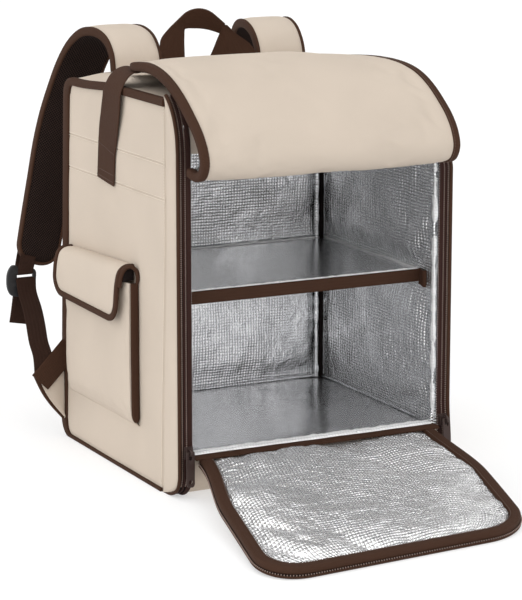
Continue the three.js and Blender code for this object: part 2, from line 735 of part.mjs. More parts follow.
// Sliders and pulls
const bailFront = PULL.y - BAIL.outer;
pair("zip_slider", cut(
  join(
    block(SLIDER.x - SLIDER.half, SLIDER.x + SLIDER.half, SLIDER.y0, SLIDER.y1, SLIDER.z0, SLIDER.z1),
    block(
      PULL.x - BAIL.half, PULL.x + BAIL.half, bailFront, SLIDER.y0 + 0.5, PULL.z - BAIL.outer, PULL.z + BAIL.outer,
    ),
  ),
  block(
    PULL.x - BAIL.half - 1, PULL.x + BAIL.half + 1,
    PULL.y - BAIL.inner, PULL.y + BAIL.inner, PULL.z - BAIL.inner, PULL.z + BAIL.inner,
  ),
), metal);
const pullTop = PULL.z + PULL.bar / 2;
const slotTop = PULL.z - PULL.bar / 2;
const pullEnd = pullTop - PULL.length;
pair("zip_pull", cut(
  block(
    PULL.x - PULL.half, PULL.x + PULL.half,
    PULL.y - PULL.thick / 2, PULL.y + PULL.thick / 2, pullEnd, pullTop,
  ),
  block(
    PULL.x - PULL_SLOT.half, PULL.x + PULL_SLOT.half,
    PULL.y - PULL.thick, PULL.y + PULL.thick, slotTop - PULL_SLOT.long, slotTop,
  ),
  block(
    PULL.x - PULL_HOLE.half, PULL.x + PULL_HOLE.half,
    PULL.y - PULL.thick, PULL.y + PULL.thick, pullEnd + PULL_HOLE.from, pullEnd + PULL_HOLE.to,
  ),
), metal);

export default bag;
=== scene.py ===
# Insulated delivery backpack standing with its front open: its visible pieces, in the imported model's frame.
import math

import bmesh
import bpy
import numpy as np
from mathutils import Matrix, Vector, noise


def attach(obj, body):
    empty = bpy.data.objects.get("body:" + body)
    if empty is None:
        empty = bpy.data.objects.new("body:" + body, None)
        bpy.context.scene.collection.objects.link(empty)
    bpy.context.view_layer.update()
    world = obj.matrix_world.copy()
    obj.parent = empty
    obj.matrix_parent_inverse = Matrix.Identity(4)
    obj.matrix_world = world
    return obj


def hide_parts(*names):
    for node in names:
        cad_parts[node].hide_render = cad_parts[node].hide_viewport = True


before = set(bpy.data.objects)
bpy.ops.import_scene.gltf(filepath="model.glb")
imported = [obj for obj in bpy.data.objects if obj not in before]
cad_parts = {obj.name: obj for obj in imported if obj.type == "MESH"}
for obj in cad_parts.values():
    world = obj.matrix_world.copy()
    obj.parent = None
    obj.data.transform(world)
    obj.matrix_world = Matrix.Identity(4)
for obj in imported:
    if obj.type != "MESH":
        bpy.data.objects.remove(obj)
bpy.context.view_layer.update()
scene = bpy.context.scene
MM = 0.001

# Box: sizes in millimetres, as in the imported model
HEIGHT = 450
SIDE = 178
FRONT, BACK = -155, 155
BACK_LEAN = 24
FOOT_RADIUS, BACK_RADIUS = 30, 22
SEAM = -127
WALL, BACK_WALL = 8, 10
GAP = 0.8  # from the edge of a panel to the outer edge of its binding, or under its inner one
SILL_TOP = 46
BROW_YZ = [(-126, 453.5), (-132, 449), (-140, 440.5), (-148, 427), (-153, 411), (FRONT, 392)]
CORNER_IN, EDGE_IN, FRONT_SINK, BACK_SINK, SEAM_BACK = 30, 3, 4, 5.5, 13
STITCH_LINES, STITCH_PITCH = (378, 338), 3.4

# Zip: a band of tape is start, width, low, high, squareness and material, a tooth row x and width,
# and a slider's block half width, front, back, low, high and bevel
PIPING_X, PIPING_OUT = -175.8, 1.3
ZIP_BANDS = [(-174, 14, -0.5, 0.3, 6, 1), (-170.6, 2.6, 0, 1.8, 2.6, 0), (-165.9, 5.9, 0, 2.3, 2.6, 0)]
TOOTH_ROWS, TOOTH_PITCH, ZIP_STITCH_X = [(-172.2, 1.6), (-167.0, 1.5)], 2.4, -160.3
SLIDER_X, PULL_X, PULL_Y, PULL_Z = -166, -167, -166, 57
SLIDER_BLOCKS = [
    (5.5, -159.3, -157.7, 48, 62, 0.7), (4.6, -162.2, -160.6, 48.6, 61.4, 0.7),
    (2.2, -161, -158.8, 51, 59, 0.5),
]
BAIL_YZ = [(-161.6, 61), (-165.6, 60.7), (-169.4, 58.6), (-169.4, 55.4), (-165.6, 53.3), (-161.6, 53)]
PULL_EDGE = [(3.8, 0.8), (4.6, 0.4), (4.8, -6), (4.6, -30), (4.7, -36), (4.0, -38.8), (2.4, -39.8)]

# Inside
CEILING, INSIDE, BACK_INSIDE = 435.7, 160, 131.5
LINING_FRONT_Z, LINING_FRONT_Y = [SILL_TOP, 405, 421, 430, 436], [-154.6, -154.6, -152, -144, -134]
SHELF_TOP, SHELF_THICK, SHELF_FRONT = 226.5, 12.5, -108
SHELF_TAB_XY = [(-159.2, -110), (-158.6, -116), (-156.5, -124), (-156.8, -130), (-159.0, -131)]
SHELF_TAB_Z = 219
SEAM_BEAD, SEAM_BEAD_IN, CORNER_BEAD_X, CORNER_STRIP_X = 2.3, 2.2, 147.5, -157.6

# Door and lid
DOOR_LENGTH, DOOR_CORNER, DOOR_RIM = 300, 56, 15
DOOR_HALF_AT_HINGE, DOOR_HALF = 152.5, 168
DOOR_SKEW, DOOR_TILT, DOOR_DROP, DOOR_HINGE_Y = 60, 0.047, 36, -158
DOOR_BEND = 1.25
HINGE_YZ = [(-149, 47.2), (-152.5, 48.7), (-157, 49.0), (-161.5, 48.4), (-165, 47)]
LID_LEFT, LID_RIGHT, RIM = -173, 151, 10
LID_TAPER, LID_TAPER_LONG, LID_FALL = 46, 125, 11
LID_THICK, LID_FOIL = 9, 2.5
LID_YZ = [
    (84, 459.4), (66, 459.8), (44, 465), (18, 472), (-10, 477), (-36, 480.5), (-62, 482), (-88, 479.5),
    (-112, 473.5), (-132, 465.5), (-153, 454), (-175, 438.5), (-195, 422), (-208, 405), (-213, 388),
    (-206, 373.5), (-190, 367.5), (-172, 370),
]

# Straps and handles
STRAP_HALF, STRAP_END_HALF = 33, 28
STRAP_THICK, STRAP_MESH, STRAP_RIM, STRAP_END_RADIUS = 7, 2.7, 4.4, 24
STRAP_XYZ = [
    (-97, 128, 450.9), (-97, 132, 468), (-98, 146, 484), (-101, 170, 492), (-106, 200, 489),
    (-112, 223, 474), (-121, 240, 446), (-135, 250, 397), (-148, 252, 352), (-160, 250, 303),
    (-174, 243, 253), (-188, 233, 203),
]
BUCKLE_X, BUCKLE_Y, BUCKLE_Z, BUCKLE_TOP_BAR = -204, (230, 235), (166, 200), 195
BUCKLE_EDGE = [
    (13.4, -13), (13.6, 0), (13.4, 12), (10, 15.6), (0, 16), (-9, 16.4), (-12.5, 21), (-17, 21.5), (-21, 15),
    (-22.5, 4), (-21.5, -8), (-18, -14.5), (-10, -16.2), (0, -16.2), (10, -16), (13.4, -13),
]
WEBBING_XYZ = [
    (-208, 163.7, 78), (-210, 163.4, 105), (-212, 170, 120), (-209, 186, 138), (-205, 207, 155),
    (-204, 223.5, 170), (-204, 227.6, 180), (-204, 229.4, 186.4), (-204, 232.5, 188.4), (-204, 235.8, 186.4),
    (-204, 237.6, 180), (-205, 238.4, 168), (-208, 238.6, 146), (-211, 238, 130),
]
WING_ROOT, WING_Y = -181.1, (165.2, 167.8)
WING_OUT_Z = [(0, 110), (15, 100), (39, 82), (34, 72), (27, 57), (17, 41), (0, 22)]
WING_BAND_XYZ = [(-214.5, 161.6, 71.5), (-200.5, 161.4, 85.5), (-186, 161.8, 100), (-173, 162.8, 113)]
WING_TRIM_XYZ = [
    (-219.5, 165.5, 81), (-215, 166, 71), (-208, 166.5, 57), (-198, 166.5, 42), (-182, 166.5, 23),
]
GRAB_HALF, GRAB_RIGHT_TOP = 24, 458
GRAB_LEFT_XYZ = [
    (-179.6, 33, 336), (-179.6, 28, 378), (-181.8, 16, 406), (-183.4, 6, 430), (-183.4, 3, 443),
    (-181, 2, 451), (-176.5, 1, 459.5), (-169.5, -1, 466), (-160, -4, 469), (-148, -7, 466.5),
    (-130, -8, 461), (-100, -3, 456.5), (0, 0, 455),
]
HANDLE_OUTER_XYZ = [
    (-66.5, 127, 450.6), (-66.2, 127, 470), (-64.9, 126, 486), (-57.4, 125, 496), (-45, 123, 507.6),
    (-33, 120, 518.1), (-23.3, 118, 521.4), (-13.2, 117, 521.1), (-2, 118, 516.9), (8.3, 120, 509.6),
    (19.2, 123, 501.6),
]
HANDLE_INNER_XYZ = [
    (-33, 127, 450.6), (-33.6, 127, 470), (-34, 127, 483.8), (-33.5, 128, 488.5), (-33, 129, 493.2),
    (-31.8, 130, 496.7), (-16.8, 132, 497), (-7, 133, 496.1), (1.1, 133, 494.5), (8.7, 132, 492.2),
    (17.1, 130, 489),
]
HANDLE_LEG_XYZ = [
    [(17.1, 131, 489.6), (10, 132, 475.1), (1.4, 132, 458.5), (-2.5, 131, 450.6)],
    [(15.6, 125, 499.9), (20.5, 123.5, 481.6), (27.5, 125, 460.3), (30.5, 126, 450.6)],
    [(20.9, 121, 499.3), (37.2, 124, 486.7), (55, 127, 474.6), (66.5, 128, 458), (68, 128, 450.6)],
]

# Side pocket
POCKET_FRONT, POCKET_BACK, POCKET_LOW, POCKET_HIGH, POCKET_DEEP = -52, 151, 62, 231, 11
POCKET_STRIP = [
    (231, 0.3, 10.3), (150, 0.3, 10.6), (95, 0.3, 10.6), (80, 0.3, 10.4), (75, 0.3, 10), (71, 0.6, 9),
    (68.5, 1.6, 7.6), (67.5, 3, 6.4),
]
FLAP_HALF, FLAP_RIM, FLAP_CORNER, FLAP_MIDDLE, FLAP_SLOPE = 94, 7.5, 25, 51, 4
FLAP_OUT_Z = [(0.6, 243), (9, 243), (15, 239), (18.5, 228), (20.5, 208), (21, 184)]
ARCH_XYZ = [
    (-197.5, -43, 226), (-195.5, -43.5, 238), (-192, -45.5, 246.5), (-186.5, -49, 250), (-181.5, -52.5, 247),
    (-179.4, -54.5, 240), (-180.5, -54.6, 230), (-182, -53.6, 224),
]

# Camera and lights, in metres
CAMERA_PLACE, CAMERA_AIM = (-1.3441, -2.6577, 0.8147), (0.443, 0.8723, -0.2071)
LENS, SENSOR = 153.23, 36
LIGHT_SIDE, LAMP_AIM = (-0.68, -0.25, 0.69), (0, 0, 0.2)
LAMPS = [
    ("key", (-1.5, -2.4, 1.9), 0.6, 2), ("fill", (1.9, -2.2, 1.3), 0.6, 3), ("top", (0.2, -0.6, 2.8), 0.8, 3),
]


# Lines and directions
def unit(v):
    return v / np.maximum(np.linalg.norm(v, axis=-1, keepdims=True), 1e-9)


def smooth(t):
    k = np.clip(t, 0, 1)
    return k * k * (3 - 2 * k)


def cosine(count):
    """0 to 1, closer together towards both ends."""
    return (1 - np.cos(np.linspace(0, math.pi, count))) / 2


def away(width, *gaps):
    """0 at the edges that the gaps are measured from, rising to 1 over a few widths."""
    return np.prod([1 - np.exp(-gap / width) for gap in gaps], axis=0)


def stack(*columns):
    """Points from their coordinates, each a number or an array."""
    return np.stack(np.broadcast_arrays(*columns), -1)


def ring(count):
    """Cosines and sines round a circle."""
    angle = np.linspace(0, 2 * math.pi, count, endpoint=False)
    return np.cos(angle), np.sin(angle)


def run(points, axis=0):
    """Length along each line of points, from its start."""
    steps = np.linalg.norm(np.diff(points, axis=axis), axis=-1)
    total = np.cumsum(steps, axis=axis)
    return np.concatenate([np.zeros_like(np.take(total, [0], axis)), total], axis)


def pick(at, length, table):
    """Rows of a table at these lengths."""
    return np.stack([np.interp(at, length, column) for column in table.T], -1)


def even(line, count):
    """count + 1 evenly spaced points on a line of points."""
    line = np.asarray(line, float)
    length = run(line)
    return pick(np.linspace(0, length[-1], count + 1), length, line)


def through(rows, count):
    """count + 1 even points on a smooth line through the given ones."""
    p = np.array(rows, float)
    p = np.vstack([2 * p[0] - p[1], p, 2 * p[-1] - p[-2]])
    t = np.linspace(0, 1, 24, endpoint=False)[:, None]
    dense = []
    for a, b, c, d in zip(p, p[1:], p[2:], p[3:]):
        s0, s1, s2 = (max(np.linalg.norm(v) ** 0.5, 1e-6) for v in (b - a, c - b, d - c))
        m1 = ((b - a) / s0 - (c - a) / (s0 + s1) + (c - b) / s1) * s1
        m2 = ((c - b) / s1 - (d - b) / (s1 + s2) + (d - c) / s2) * s1
        dense.append(b + m1 * t + (3 * (c - b) - 2 * m1 - m2) * t**2 + (2 * (b - c) + m1 + m2) * t**3)
    return even(np.vstack([*dense, p[-2:-1]]), count)


class Track:
    """A smooth line in space. place(a, b, h) is a point a across it, b along it and h above its flat side."""

    def __init__(self, rows, flat=(1, 0, 0)):
        self.points = through(rows, 600)
        self.along = unit(np.gradient(self.points, axis=0))
        self.run = run(self.points)
        self.length = self.run[-1]
        self.flat = np.array(flat, float)

    def at(self, b):
        point, along = (pick(b, self.run, table) for table in (self.points, self.along))
        along = unit(along)
        past = b - np.clip(b, 0, self.length)
        return point + along * past[..., None], along

    def place(self, a, b, h):
        a, b, h = np.broadcast_arrays(*(np.asarray(v, float) for v in (a, b, h)))
        point, along = self.at(b)
        across = unit(self.flat - along * (along @ self.flat)[..., None])
        face = np.cross(across, along)
        return point + across * a[..., None] + face * h[..., None]


def uneven(points, size, amount, seed=0):
    """Soft unevenness of a surface: hollows and swellings about size across."""
    spots = points.reshape(-1, 3) / size + seed * 7.31
    values = [noise.noise(Vector(p)) for p in spots]
    return amount * np.array(values).reshape(points.shape[:-1])


# Side outline of the box, going round base, back, top and front
CORNERS_YZ = np.array([(FRONT, 0), (BACK + BACK_LEAN, 0), (BACK, HEIGHT), (FRONT, HEIGHT)], float)
FRONT_BOTTOM, BACK_BOTTOM, BACK_TOP = range(3)


def corner(which, steps=14):
    """(y, z) points round one rounded corner of the outline."""
    here = CORNERS_YZ[which]
    radius = FOOT_RADIUS if which == FRONT_BOTTOM else BACK_RADIUS
    sides = unit(np.array([here - CORNERS_YZ[which - 1], CORNERS_YZ[(which + 1) % 4] - here]))
    before, after = np.stack([sides[:, 1], -sides[:, 0]], -1)
    centre = here - (before + after) * radius / (1 + before @ after)
    start = math.atan2(before[1], before[0])
    turn = (math.atan2(after[1], after[0]) - start) % (2 * math.pi)
    angle = start + turn * np.linspace(0, 1, steps + 1)
    return centre + radius * np.stack([np.cos(angle), np.sin(angle)], -1)


def outward(line):
    """Unit normals of an outline path in (y, z), pointing out of the box."""
    ahead = unit(np.gradient(line, axis=0))
    return np.stack([ahead[:, 1], -ahead[:, 0]], -1)


def spread(x, line, offset, lowest=0.0):
    """Points at x that lie offset outside an outline path, none of them below lowest."""
    yz = line[:, None] + outward(line)[:, None] * np.asarray(offset)[..., None]
    return stack(x, yz[..., 0], np.maximum(yz[..., 1], lowest))


def foot(behind):
    """The part of the bottom front corner behind the side seam, or in front of it."""
    arc = corner(FRONT_BOTTOM, 40)
    return arc[arc[:, 0] > SEAM] if behind else arc[arc[:, 0] <= SEAM]


def brow():
    """The rounded top front edge, from the side seam down to the straight front edge."""
    return through(BROW_YZ, 40)


def settle(points):
    """Sag of the soft box: the top sinks to the front right and the back left, the right front edge leans
    inwards, most at its top corner, and the side seam lies further back towards the floor."""
    x, y, z = points.T
    corner_share = smooth((x - 90) / 85) * smooth((40 - y) / 140) * np.tanh(1.7 * smooth((z - 352) / 100))
    edge_share = smooth((x - 120) / 40) * smooth((-100 - y) / 40) * smooth((z - 20) / 60)
    sink = FRONT_SINK * smooth((20 - y) / 140) * smooth((z - 380) / 70) * smooth((x + 175) / 60)
    sink += BACK_SINK * smooth((-x - 125) / 50) * smooth((y - 10) / 110) * smooth((z - 390) / 60)
    seam_share = smooth((y + 152) / 25) * smooth((-60 - y) / 60) * smooth((np.abs(x) - 164) / 8)
    back = SEAM_BACK * seam_share * smooth(1 - z / 330)
    return points - np.stack([CORNER_IN * corner_share + EDGE_IN * edge_share, -back, sink], -1)


def grid_faces(rows, columns):
    """The point numbers of a grid, and its faces."""
    k = np.arange(rows * columns).reshape(rows, columns)
    return k, np.stack([k[:-1, :-1], k[1:, :-1], k[1:, 1:], k[:-1, 1:]], -1).reshape(-1, 4)


class Shape:
    """Points, faces and flat coordinates of one piece, gathered part by part in millimetres."""

    def __init__(self):
        self.points, self.faces, self.flat, self.slots = [], [], [], []
        self.count = 0

    def add(self, points, faces, flat, slot=0):
        self.points.append(points)
        self.flat.append(flat)
        self.faces += [tuple(k + self.count for k in face) for face in faces]
        self.slots += [slot] * len(faces)
        self.count += len(points)
        return self

    def grid(self, points, slot=0):
        u = run(points, 0).mean(axis=1)
        v = run(points, 1).mean(axis=0)
        flat = np.stack(np.meshgrid(u, v, indexing="ij"), -1).reshape(-1, 2)
        faces = grid_faces(*points.shape[:2])[1]
        return self.add(points.reshape(-1, 3), faces.tolist(), flat * MM, slot)

    def sweep(self, loops, slot=0):
        """A skin over closed loops, capped at both ends."""
        self.grid(np.concatenate([loops, loops[:, :1]], axis=1), slot)
        for end in (loops[0], loops[-1]):
            self.add(end, [tuple(range(len(end)))], end[:, :2] * MM, slot)
        return self

    def bead(self, x, y, z, axes, girth, slot=0, squash=1):
        """A round bead along a line, with its section in two of the axes and squashed along the first."""
        cos, sin = ring(10)
        place = [x, y, z]
        place[axes[0]] = place[axes[0]] + girth * cos / squash
        place[axes[1]] = place[axes[1]] + girth * sin
        return self.sweep(stack(*place), slot)

    def tube(self, line, side, wide, high, count, girth=1.0):
        """An oval tube along a line, wide along side and high across it."""
        side = np.array(side, float)
        up = np.cross(unit(np.gradient(line, axis=0)), side)
        cos, sin = (v[:, None] for v in ring(count))
        return self.sweep(line[:, None] + girth * (wide * cos * side + high * sin * up[:, None]))

    def slab(self, top, bottom):
        """A closed pad between two grids of the same shape."""
        self.grid(top)
        self.grid(bottom)
        for side in (np.s_[0], np.s_[-1], np.s_[:, 0], np.s_[:, -1]):
            self.grid(np.stack([top[side], bottom[side]]))
        return self

    def sheet(self, points, thick):
        """A cloth of even thickness whose middle is a grid."""
        normal = unit(np.cross(np.gradient(points, axis=0), np.gradient(points, axis=1)))
        return self.slab(points + normal * thick / 2, points - normal * thick / 2)

    def block(self, low, high, bevel, slot=0):
        """A box with rounded edges."""
        solid = bmesh.new()
        bmesh.ops.create_cube(solid, size=1)
        low, high = np.array(low, float), np.array(high, float)
        for v in solid.verts:
            v.co = Vector((low + high) / 2 + np.array(v.co) * (high - low))
        edges = solid.edges[:]
        bmesh.ops.bevel(
            solid, geom=edges, offset=bevel, segments=3, profile=0.6, affect="EDGES", clamp_overlap=True,
        )
        points = np.array([v.co for v in solid.verts])
        faces = [tuple(v.index for v in f.verts) for f in solid.faces]
        solid.free()
        return self.add(points, faces, points[:, :2] * MM, slot)

    def plate(self, outlines, thick, bevel, place):
        """A flat plate with holes; place turns its (a, b, height) into points."""
        curve = bpy.data.curves.new("plate", "CURVE")
        curve.dimensions, curve.fill_mode = "2D", "BOTH"
        curve.extrude, curve.bevel_depth, curve.bevel_resolution = thick / 2 - bevel, bevel, 2
        for outline in outlines:
            spline = curve.splines.new("POLY")
            spline.points.add(len(outline) - 1)
            for point, (a, b) in zip(spline.points, outline):
                point.co = (a, b, 0, 1)
            spline.use_cyclic_u = True
        helper = bpy.data.objects.new("plate", curve)
        mesh = bpy.data.meshes.new_from_object(helper)
        points = np.array([v.co for v in mesh.vertices])
        faces = [tuple(p.vertices) for p in mesh.polygons]
        bpy.data.objects.remove(helper)
        bpy.data.curves.remove(curve)
        bpy.data.meshes.remove(mesh)
        return self.add(place(*points.T), faces, points[:, :2] * MM)

    def beads(self, points, along, normal, length, width, thick):
        """One small lozenge at each point: a stitch or a zip tooth."""
        hexagon = stack(0.0, *ring(6))
        stations = [(-0.5, 0.35), (-0.32, 1), (0.32, 1), (0.5, 0.35)]
        model = np.vstack([hexagon * [1, r, r] + [s, 0, 0] for s, r in stations])
        model *= [length, width / 2, thick / 2]
        starts = [(r * 6, k, (k + 1) % 6) for r in range(3) for k in range(6)]
        faces = [(r + k, r + after, r + 6 + after, r + 6 + k) for r, k, after in starts]
        faces += [tuple(range(5, -1, -1)), tuple(range(18, 24))]
        along = unit(np.broadcast_to(along, points.shape))
        side = unit(np.cross(normal, along))
        up = np.cross(along, side)
        for spot in points[:, None] + model @ np.stack([along, side, up], 1):
            self.add(spot, faces, model[:, :2] * MM)
        return self

    def stitches(self, line, normal, pitch=STITCH_PITCH, width=0.75):
        """A row of stitches along a line of points on a surface."""
        count = max(int(run(line)[-1] / pitch), 2)
        points = even(line, count)
        normals = np.broadcast_to(normal, line.shape)
        normals = pick(np.linspace(0, 1, count + 1), np.linspace(0, 1, len(line)), normals)
        return self.beads(points, np.gradient(points, axis=0), normals, pitch * 0.74, width, width)

    def make(self, name, *materials, fill=0, extra=False, body="bag", mirror=False, crease=38, settled=True):
        """The finished piece. It replaces the node of its name unless extra. fill is not used."""
        points = np.vstack(self.points)
        if mirror:
            points = points * [-1, 1, 1]
        if settled:
            points = settle(points)
        points = points * MM
        mesh = bpy.data.meshes.new(name)
        mesh.from_pydata(points.tolist(), [], self.faces)
        corners = np.zeros(len(mesh.loops), int)
        mesh.loops.foreach_get("vertex_index", corners)
        weave = mesh.uv_layers.new(name="weave")
        weave.data.foreach_set("uv", np.vstack(self.flat)[corners].ravel())
        mesh.polygons.foreach_set("material_index", self.slots)
        solid = bmesh.new()
        solid.from_mesh(mesh)
        bmesh.ops.remove_doubles(solid, verts=solid.verts, dist=3e-6)
        bmesh.ops.dissolve_degenerate(solid, edges=solid.edges, dist=1e-7)
        bmesh.ops.recalc_face_normals(solid, faces=solid.faces)
        solid.to_mesh(mesh)
        solid.free()
        for material in materials:
            mesh.materials.append(material)
        mesh.shade_smooth()
        mesh.set_sharp_from_angle(angle=math.radians(crease))
        piece = bpy.data.objects.new(name, mesh)
        scene.collection.objects.link(piece)
        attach(piece, body)
        if not extra:
            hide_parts(name)
        return piece

    def make_pair(self, name, *materials, **settings):
        for side, mirror in (("left", False), ("right", True)):
            self.make(f"{name}_{side}", *materials, mirror=mirror, **settings)


# Materials
class Tree:
    """A node tree, built socket by socket. Its noises are looked up at place."""

    def __init__(self, owner, place):
        owner.use_nodes = True
        self.tree = owner.node_tree
        self.coordinates = self.tree.nodes.new("ShaderNodeTexCoord").outputs
        self.place = self.coordinates[place]

    def node(self, kind, inputs, output=0, **settings):
        node = self.tree.nodes.new(kind)
        for key, value in settings.items():
            setattr(node, key, value)
        for key, value in inputs.items():
            if isinstance(value, bpy.types.NodeSocket):
                self.tree.links.new(value, node.inputs[key])
            else:
                node.inputs[key].default_value = value
        return node.outputs[output]

    def sum(self, operation, a, b=0.0, c=0.0):
        return self.node("ShaderNodeMath", {0: a, 1: b, 2: c}, operation=operation)

    def noise(self, scale, detail=2.0, distortion=0.0, output=0):
        inputs = {"Vector": self.place, "Scale": scale, "Detail": detail, "Distortion": distortion}
        return self.node("ShaderNodeTexNoise", inputs, output)

    def between(self, value, low, high, start=0.0, end=1.0, kind="LINEAR"):
        """value, from start to end, spread from low to high."""
        inputs = {"Value": value, "From Min": start, "From Max": end, "To Min": low, "To Max": high}
        return self.node("ShaderNodeMapRange", inputs, interpolation_type=kind)

    def step(self, value, start, end):
        """0 before start, 1 after end and smooth between."""
        return self.between(value, 0.0, 1.0, start, end, "SMOOTHSTEP")

    def mix(self, amount, first, second):
        return self.node("ShaderNodeMix", {0: amount, 6: first, 7: second}, 2, data_type="RGBA")


class Nodes(Tree):
    """The node tree of one material."""

    def __init__(self, name, roughness, metallic=0.0, **sockets):
        self.material = bpy.data.materials.new(name)
        super().__init__(self.material, "Object")
        self.shader = next(n for n in self.tree.nodes if n.type == "BSDF_PRINCIPLED")
        for socket, value in {"Roughness": roughness, "Metallic": metallic, **sockets}.items():
            self.shader.inputs[socket].default_value = value

    def waves(self, pitch_u, pitch_v, turn=0.0, wander=0.0):
        """A pair of sine waves along and across the cloth, with these pitches in millimetres."""
        weave = self.coordinates["UV"]
        if wander:
            drift = self.noise(28.0, output=1)
            sway = self.node("ShaderNodeVectorMath", {0: drift, 3: wander * MM}, operation="SCALE")
            weave = self.node("ShaderNodeVectorMath", {0: weave, 1: sway}, operation="ADD")
        mapped = self.node("ShaderNodeMapping", {"Vector": weave, "Rotation": (0, 0, math.radians(turn))})
        apart = self.node("ShaderNodeSeparateXYZ", {"Vector": mapped}).node.outputs
        return [
            self.sum("SINE", self.sum("MULTIPLY", apart[k], 2 * math.pi / (pitch * MM)))
            for k, pitch in enumerate((pitch_u, pitch_v))
        ]

    def bump(self, height, distance, **under):
        inputs = {"Height": height, "Distance": distance * MM, "Strength": 1.0, **under}
        return self.node("ShaderNodeBump", inputs)

    def set(self, **links):
        names = {"color": "Base Color", "rough": "Roughness", "normal": "Normal"}
        for key, value in links.items():
            self.tree.links.new(value, self.shader.inputs[names[key]])
        return self.material


def tone(colour, factor):
    return (*(c * factor for c in colour), 1)


def cloth(name, colour, pitch, depth, roughness, ribs=False):
    """Woven cloth: threads or ribs, a little unevenness of tone and a dry sheen."""
    n = Nodes(name, roughness, **{"Specular IOR Level": 0.1})
    u, v = n.waves(pitch, pitch * (3 if ribs else 1))
    threads = n.sum("MULTIPLY_ADD", v, 0.35, u) if ribs else n.sum("MULTIPLY", u, v)
    grain = n.noise(1400, 3)
    height = n.sum("MULTIPLY_ADD", grain, 1.2, threads)
    base = n.mix(n.noise(11, 4, 0.4), tone(colour, 0.92), tone(colour, 1.08))
    # The hollows of the weave are painted darker: painted shade
    shaded = n.mix(n.step(height, -0.9, 0.6), tone(colour, 0.88), base)
    rough = n.between(grain, roughness - 0.08, roughness + 0.08)
    return n.set(color=shaded, rough=rough, normal=n.bump(height, depth))


def foil(name, pitch_u, pitch_v, emboss, crumple, light, roughness, metallic, blotch=0.07, wander=4.0):
    """Aluminium film on woven backing: pressed squares, broken by smoother patches, and fine crumpling."""
    n = Nodes(name, roughness, metallic)
    waves = n.waves(2 * pitch_u, 2 * pitch_v, wander=wander)
    cells = n.sum("MULTIPLY", *(n.sum("POWER", n.sum("ABSOLUTE", wave), 0.7) for wave in waves))
    patches = n.step(n.noise(13, 3, 0.6), 0.34, 0.62)
    pressed = n.sum("MULTIPLY", cells, n.between(patches, 0.3, 1.0))
    wrinkled = n.bump(n.noise(55, 5, 0.8), crumple)
    normal = n.bump(pressed, emboss, Normal=wrinkled)
    film = n.mix(n.noise(24, 3), tone(light, 0.9), tone(light, 1.08))
    # The grooves between the pressed squares are painted darker: painted shade
    colour = n.mix(n.step(cells, 0.05, 0.5), tone(light, 0.8), film)
    rough = n.between(n.noise(120, 3), roughness - blotch, roughness + blotch)
    return n.set(color=colour, rough=rough, normal=normal)


def strap_net(name, dark, light):
    """Spacer mesh: a dark cloth under a fine net of diamonds."""
    n = Nodes(name, 0.85, **{"Specular IOR Level": 0.06})
    holes = n.sum("MULTIPLY", *(n.sum("ABSOLUTE", wave) for wave in n.waves(5.0, 5.0, 45)))
    net = n.step(holes, 0.62, 0.15)
    colour = n.mix(net, tone(dark, 1), n.mix(n.noise(40, 3), tone(light, 0.8), tone(light, 1.2)))
    return n.set(color=colour, normal=n.bump(net, 0.6))


def moulded(name, colour, roughness, metallic=0.0):
    """Moulded plastic, painted metal or thread, with a fine grain and an uneven tone."""
    n = Nodes(name, roughness, metallic)
    grain = n.noise(900, 3)
    colours = n.mix(n.noise(60, 4), tone(colour, 0.85), tone(colour, 1.2))
    rough = n.between(grain, roughness - 0.1, roughness + 0.1)
    return n.set(color=colours, rough=rough, normal=n.bump(grain, 0.05))


canvas = cloth("canvas", (0.565, 0.484, 0.404), 1.1, 0.06, 0.78)
brown_tape = cloth("brown_tape", (0.058, 0.0275, 0.0165), 1.3, 0.16, 0.72, ribs=True)
webbing = cloth("webbing", (0.036, 0.0175, 0.012), 1.5, 0.2, 0.72, ribs=True)
zip_cloth = cloth("zip_cloth", (0.036, 0.016, 0.013), 1.3, 0.14, 0.75, ribs=True)
dark_tape = cloth("dark_tape", (0.012, 0.008, 0.007), 1.3, 0.12, 0.8, ribs=True)
# The foils are one film in lit and shaded copies: foil_wall, on the back wall, ceiling and lid underside, is
# darker, a painted shade; foil_door is brighter and less metallic, painted light on the door
foil_wall = foil("foil_wall", 3.7, 3.7, 0.6, 3.0, (0.71, 0.715, 0.725), 0.15, 0.95)
foil_side = foil("foil_side", 3.7, 6.0, 1.3, 3.6, (0.93, 0.935, 0.945), 0.15, 0.95)
foil_door = foil("foil_door", 5.0, 3.9, 1.3, 4.6, (0.99, 0.99, 0.995), 0.16, 0.75, wander=1.5)
foil_plain = foil("foil_plain", 3.7, 3.7, 0.0, 0.05, (0.94, 0.94, 0.95), 0.22, 0.94, 0.02)
# Pure white and far less metallic than the other foils: a painted highlight for the rolled foil edges
foil_painted_highlight = foil("foil_painted_highlight", 3.7, 3.7, 0.5, 2.0, (1.0, 1.0, 1.0), 0.3, 0.35)
mesh_cloth = strap_net("mesh_cloth", (0.004, 0.003, 0.003), (0.04, 0.025, 0.021))
plastic = moulded("plastic", (0.011, 0.011, 0.0125), 0.5)
zip_metal = moulded("zip_metal", (0.045, 0.026, 0.022), 0.38, 0.4)
zip_teeth = moulded("zip_teeth", (0.3, 0.21, 0.175), 0.35, 0.2)
thread = moulded("thread", (0.74, 0.67, 0.58), 0.8)
silver_thread = moulded("silver_thread", (0.5, 0.42, 0.4), 0.6)
brown_thread = moulded("brown_thread", (0.1, 0.06, 0.045), 0.75)

# The frame's slot for each material that has one
SLOT_MATERIALS = {
    "canvas": [canvas, thread],
    "brown_tape": [brown_tape, webbing, zip_cloth, dark_tape, brown_thread],
    "foil": [foil_wall, foil_side, foil_door, foil_plain, foil_painted_highlight],
    "mesh_cloth": [mesh_cloth],
    "plastic": [plastic],
    "zip_metal": [zip_metal],
}
SLOTS = {material.name: slot for slot, group in SLOT_MATERIALS.items() for material in group}


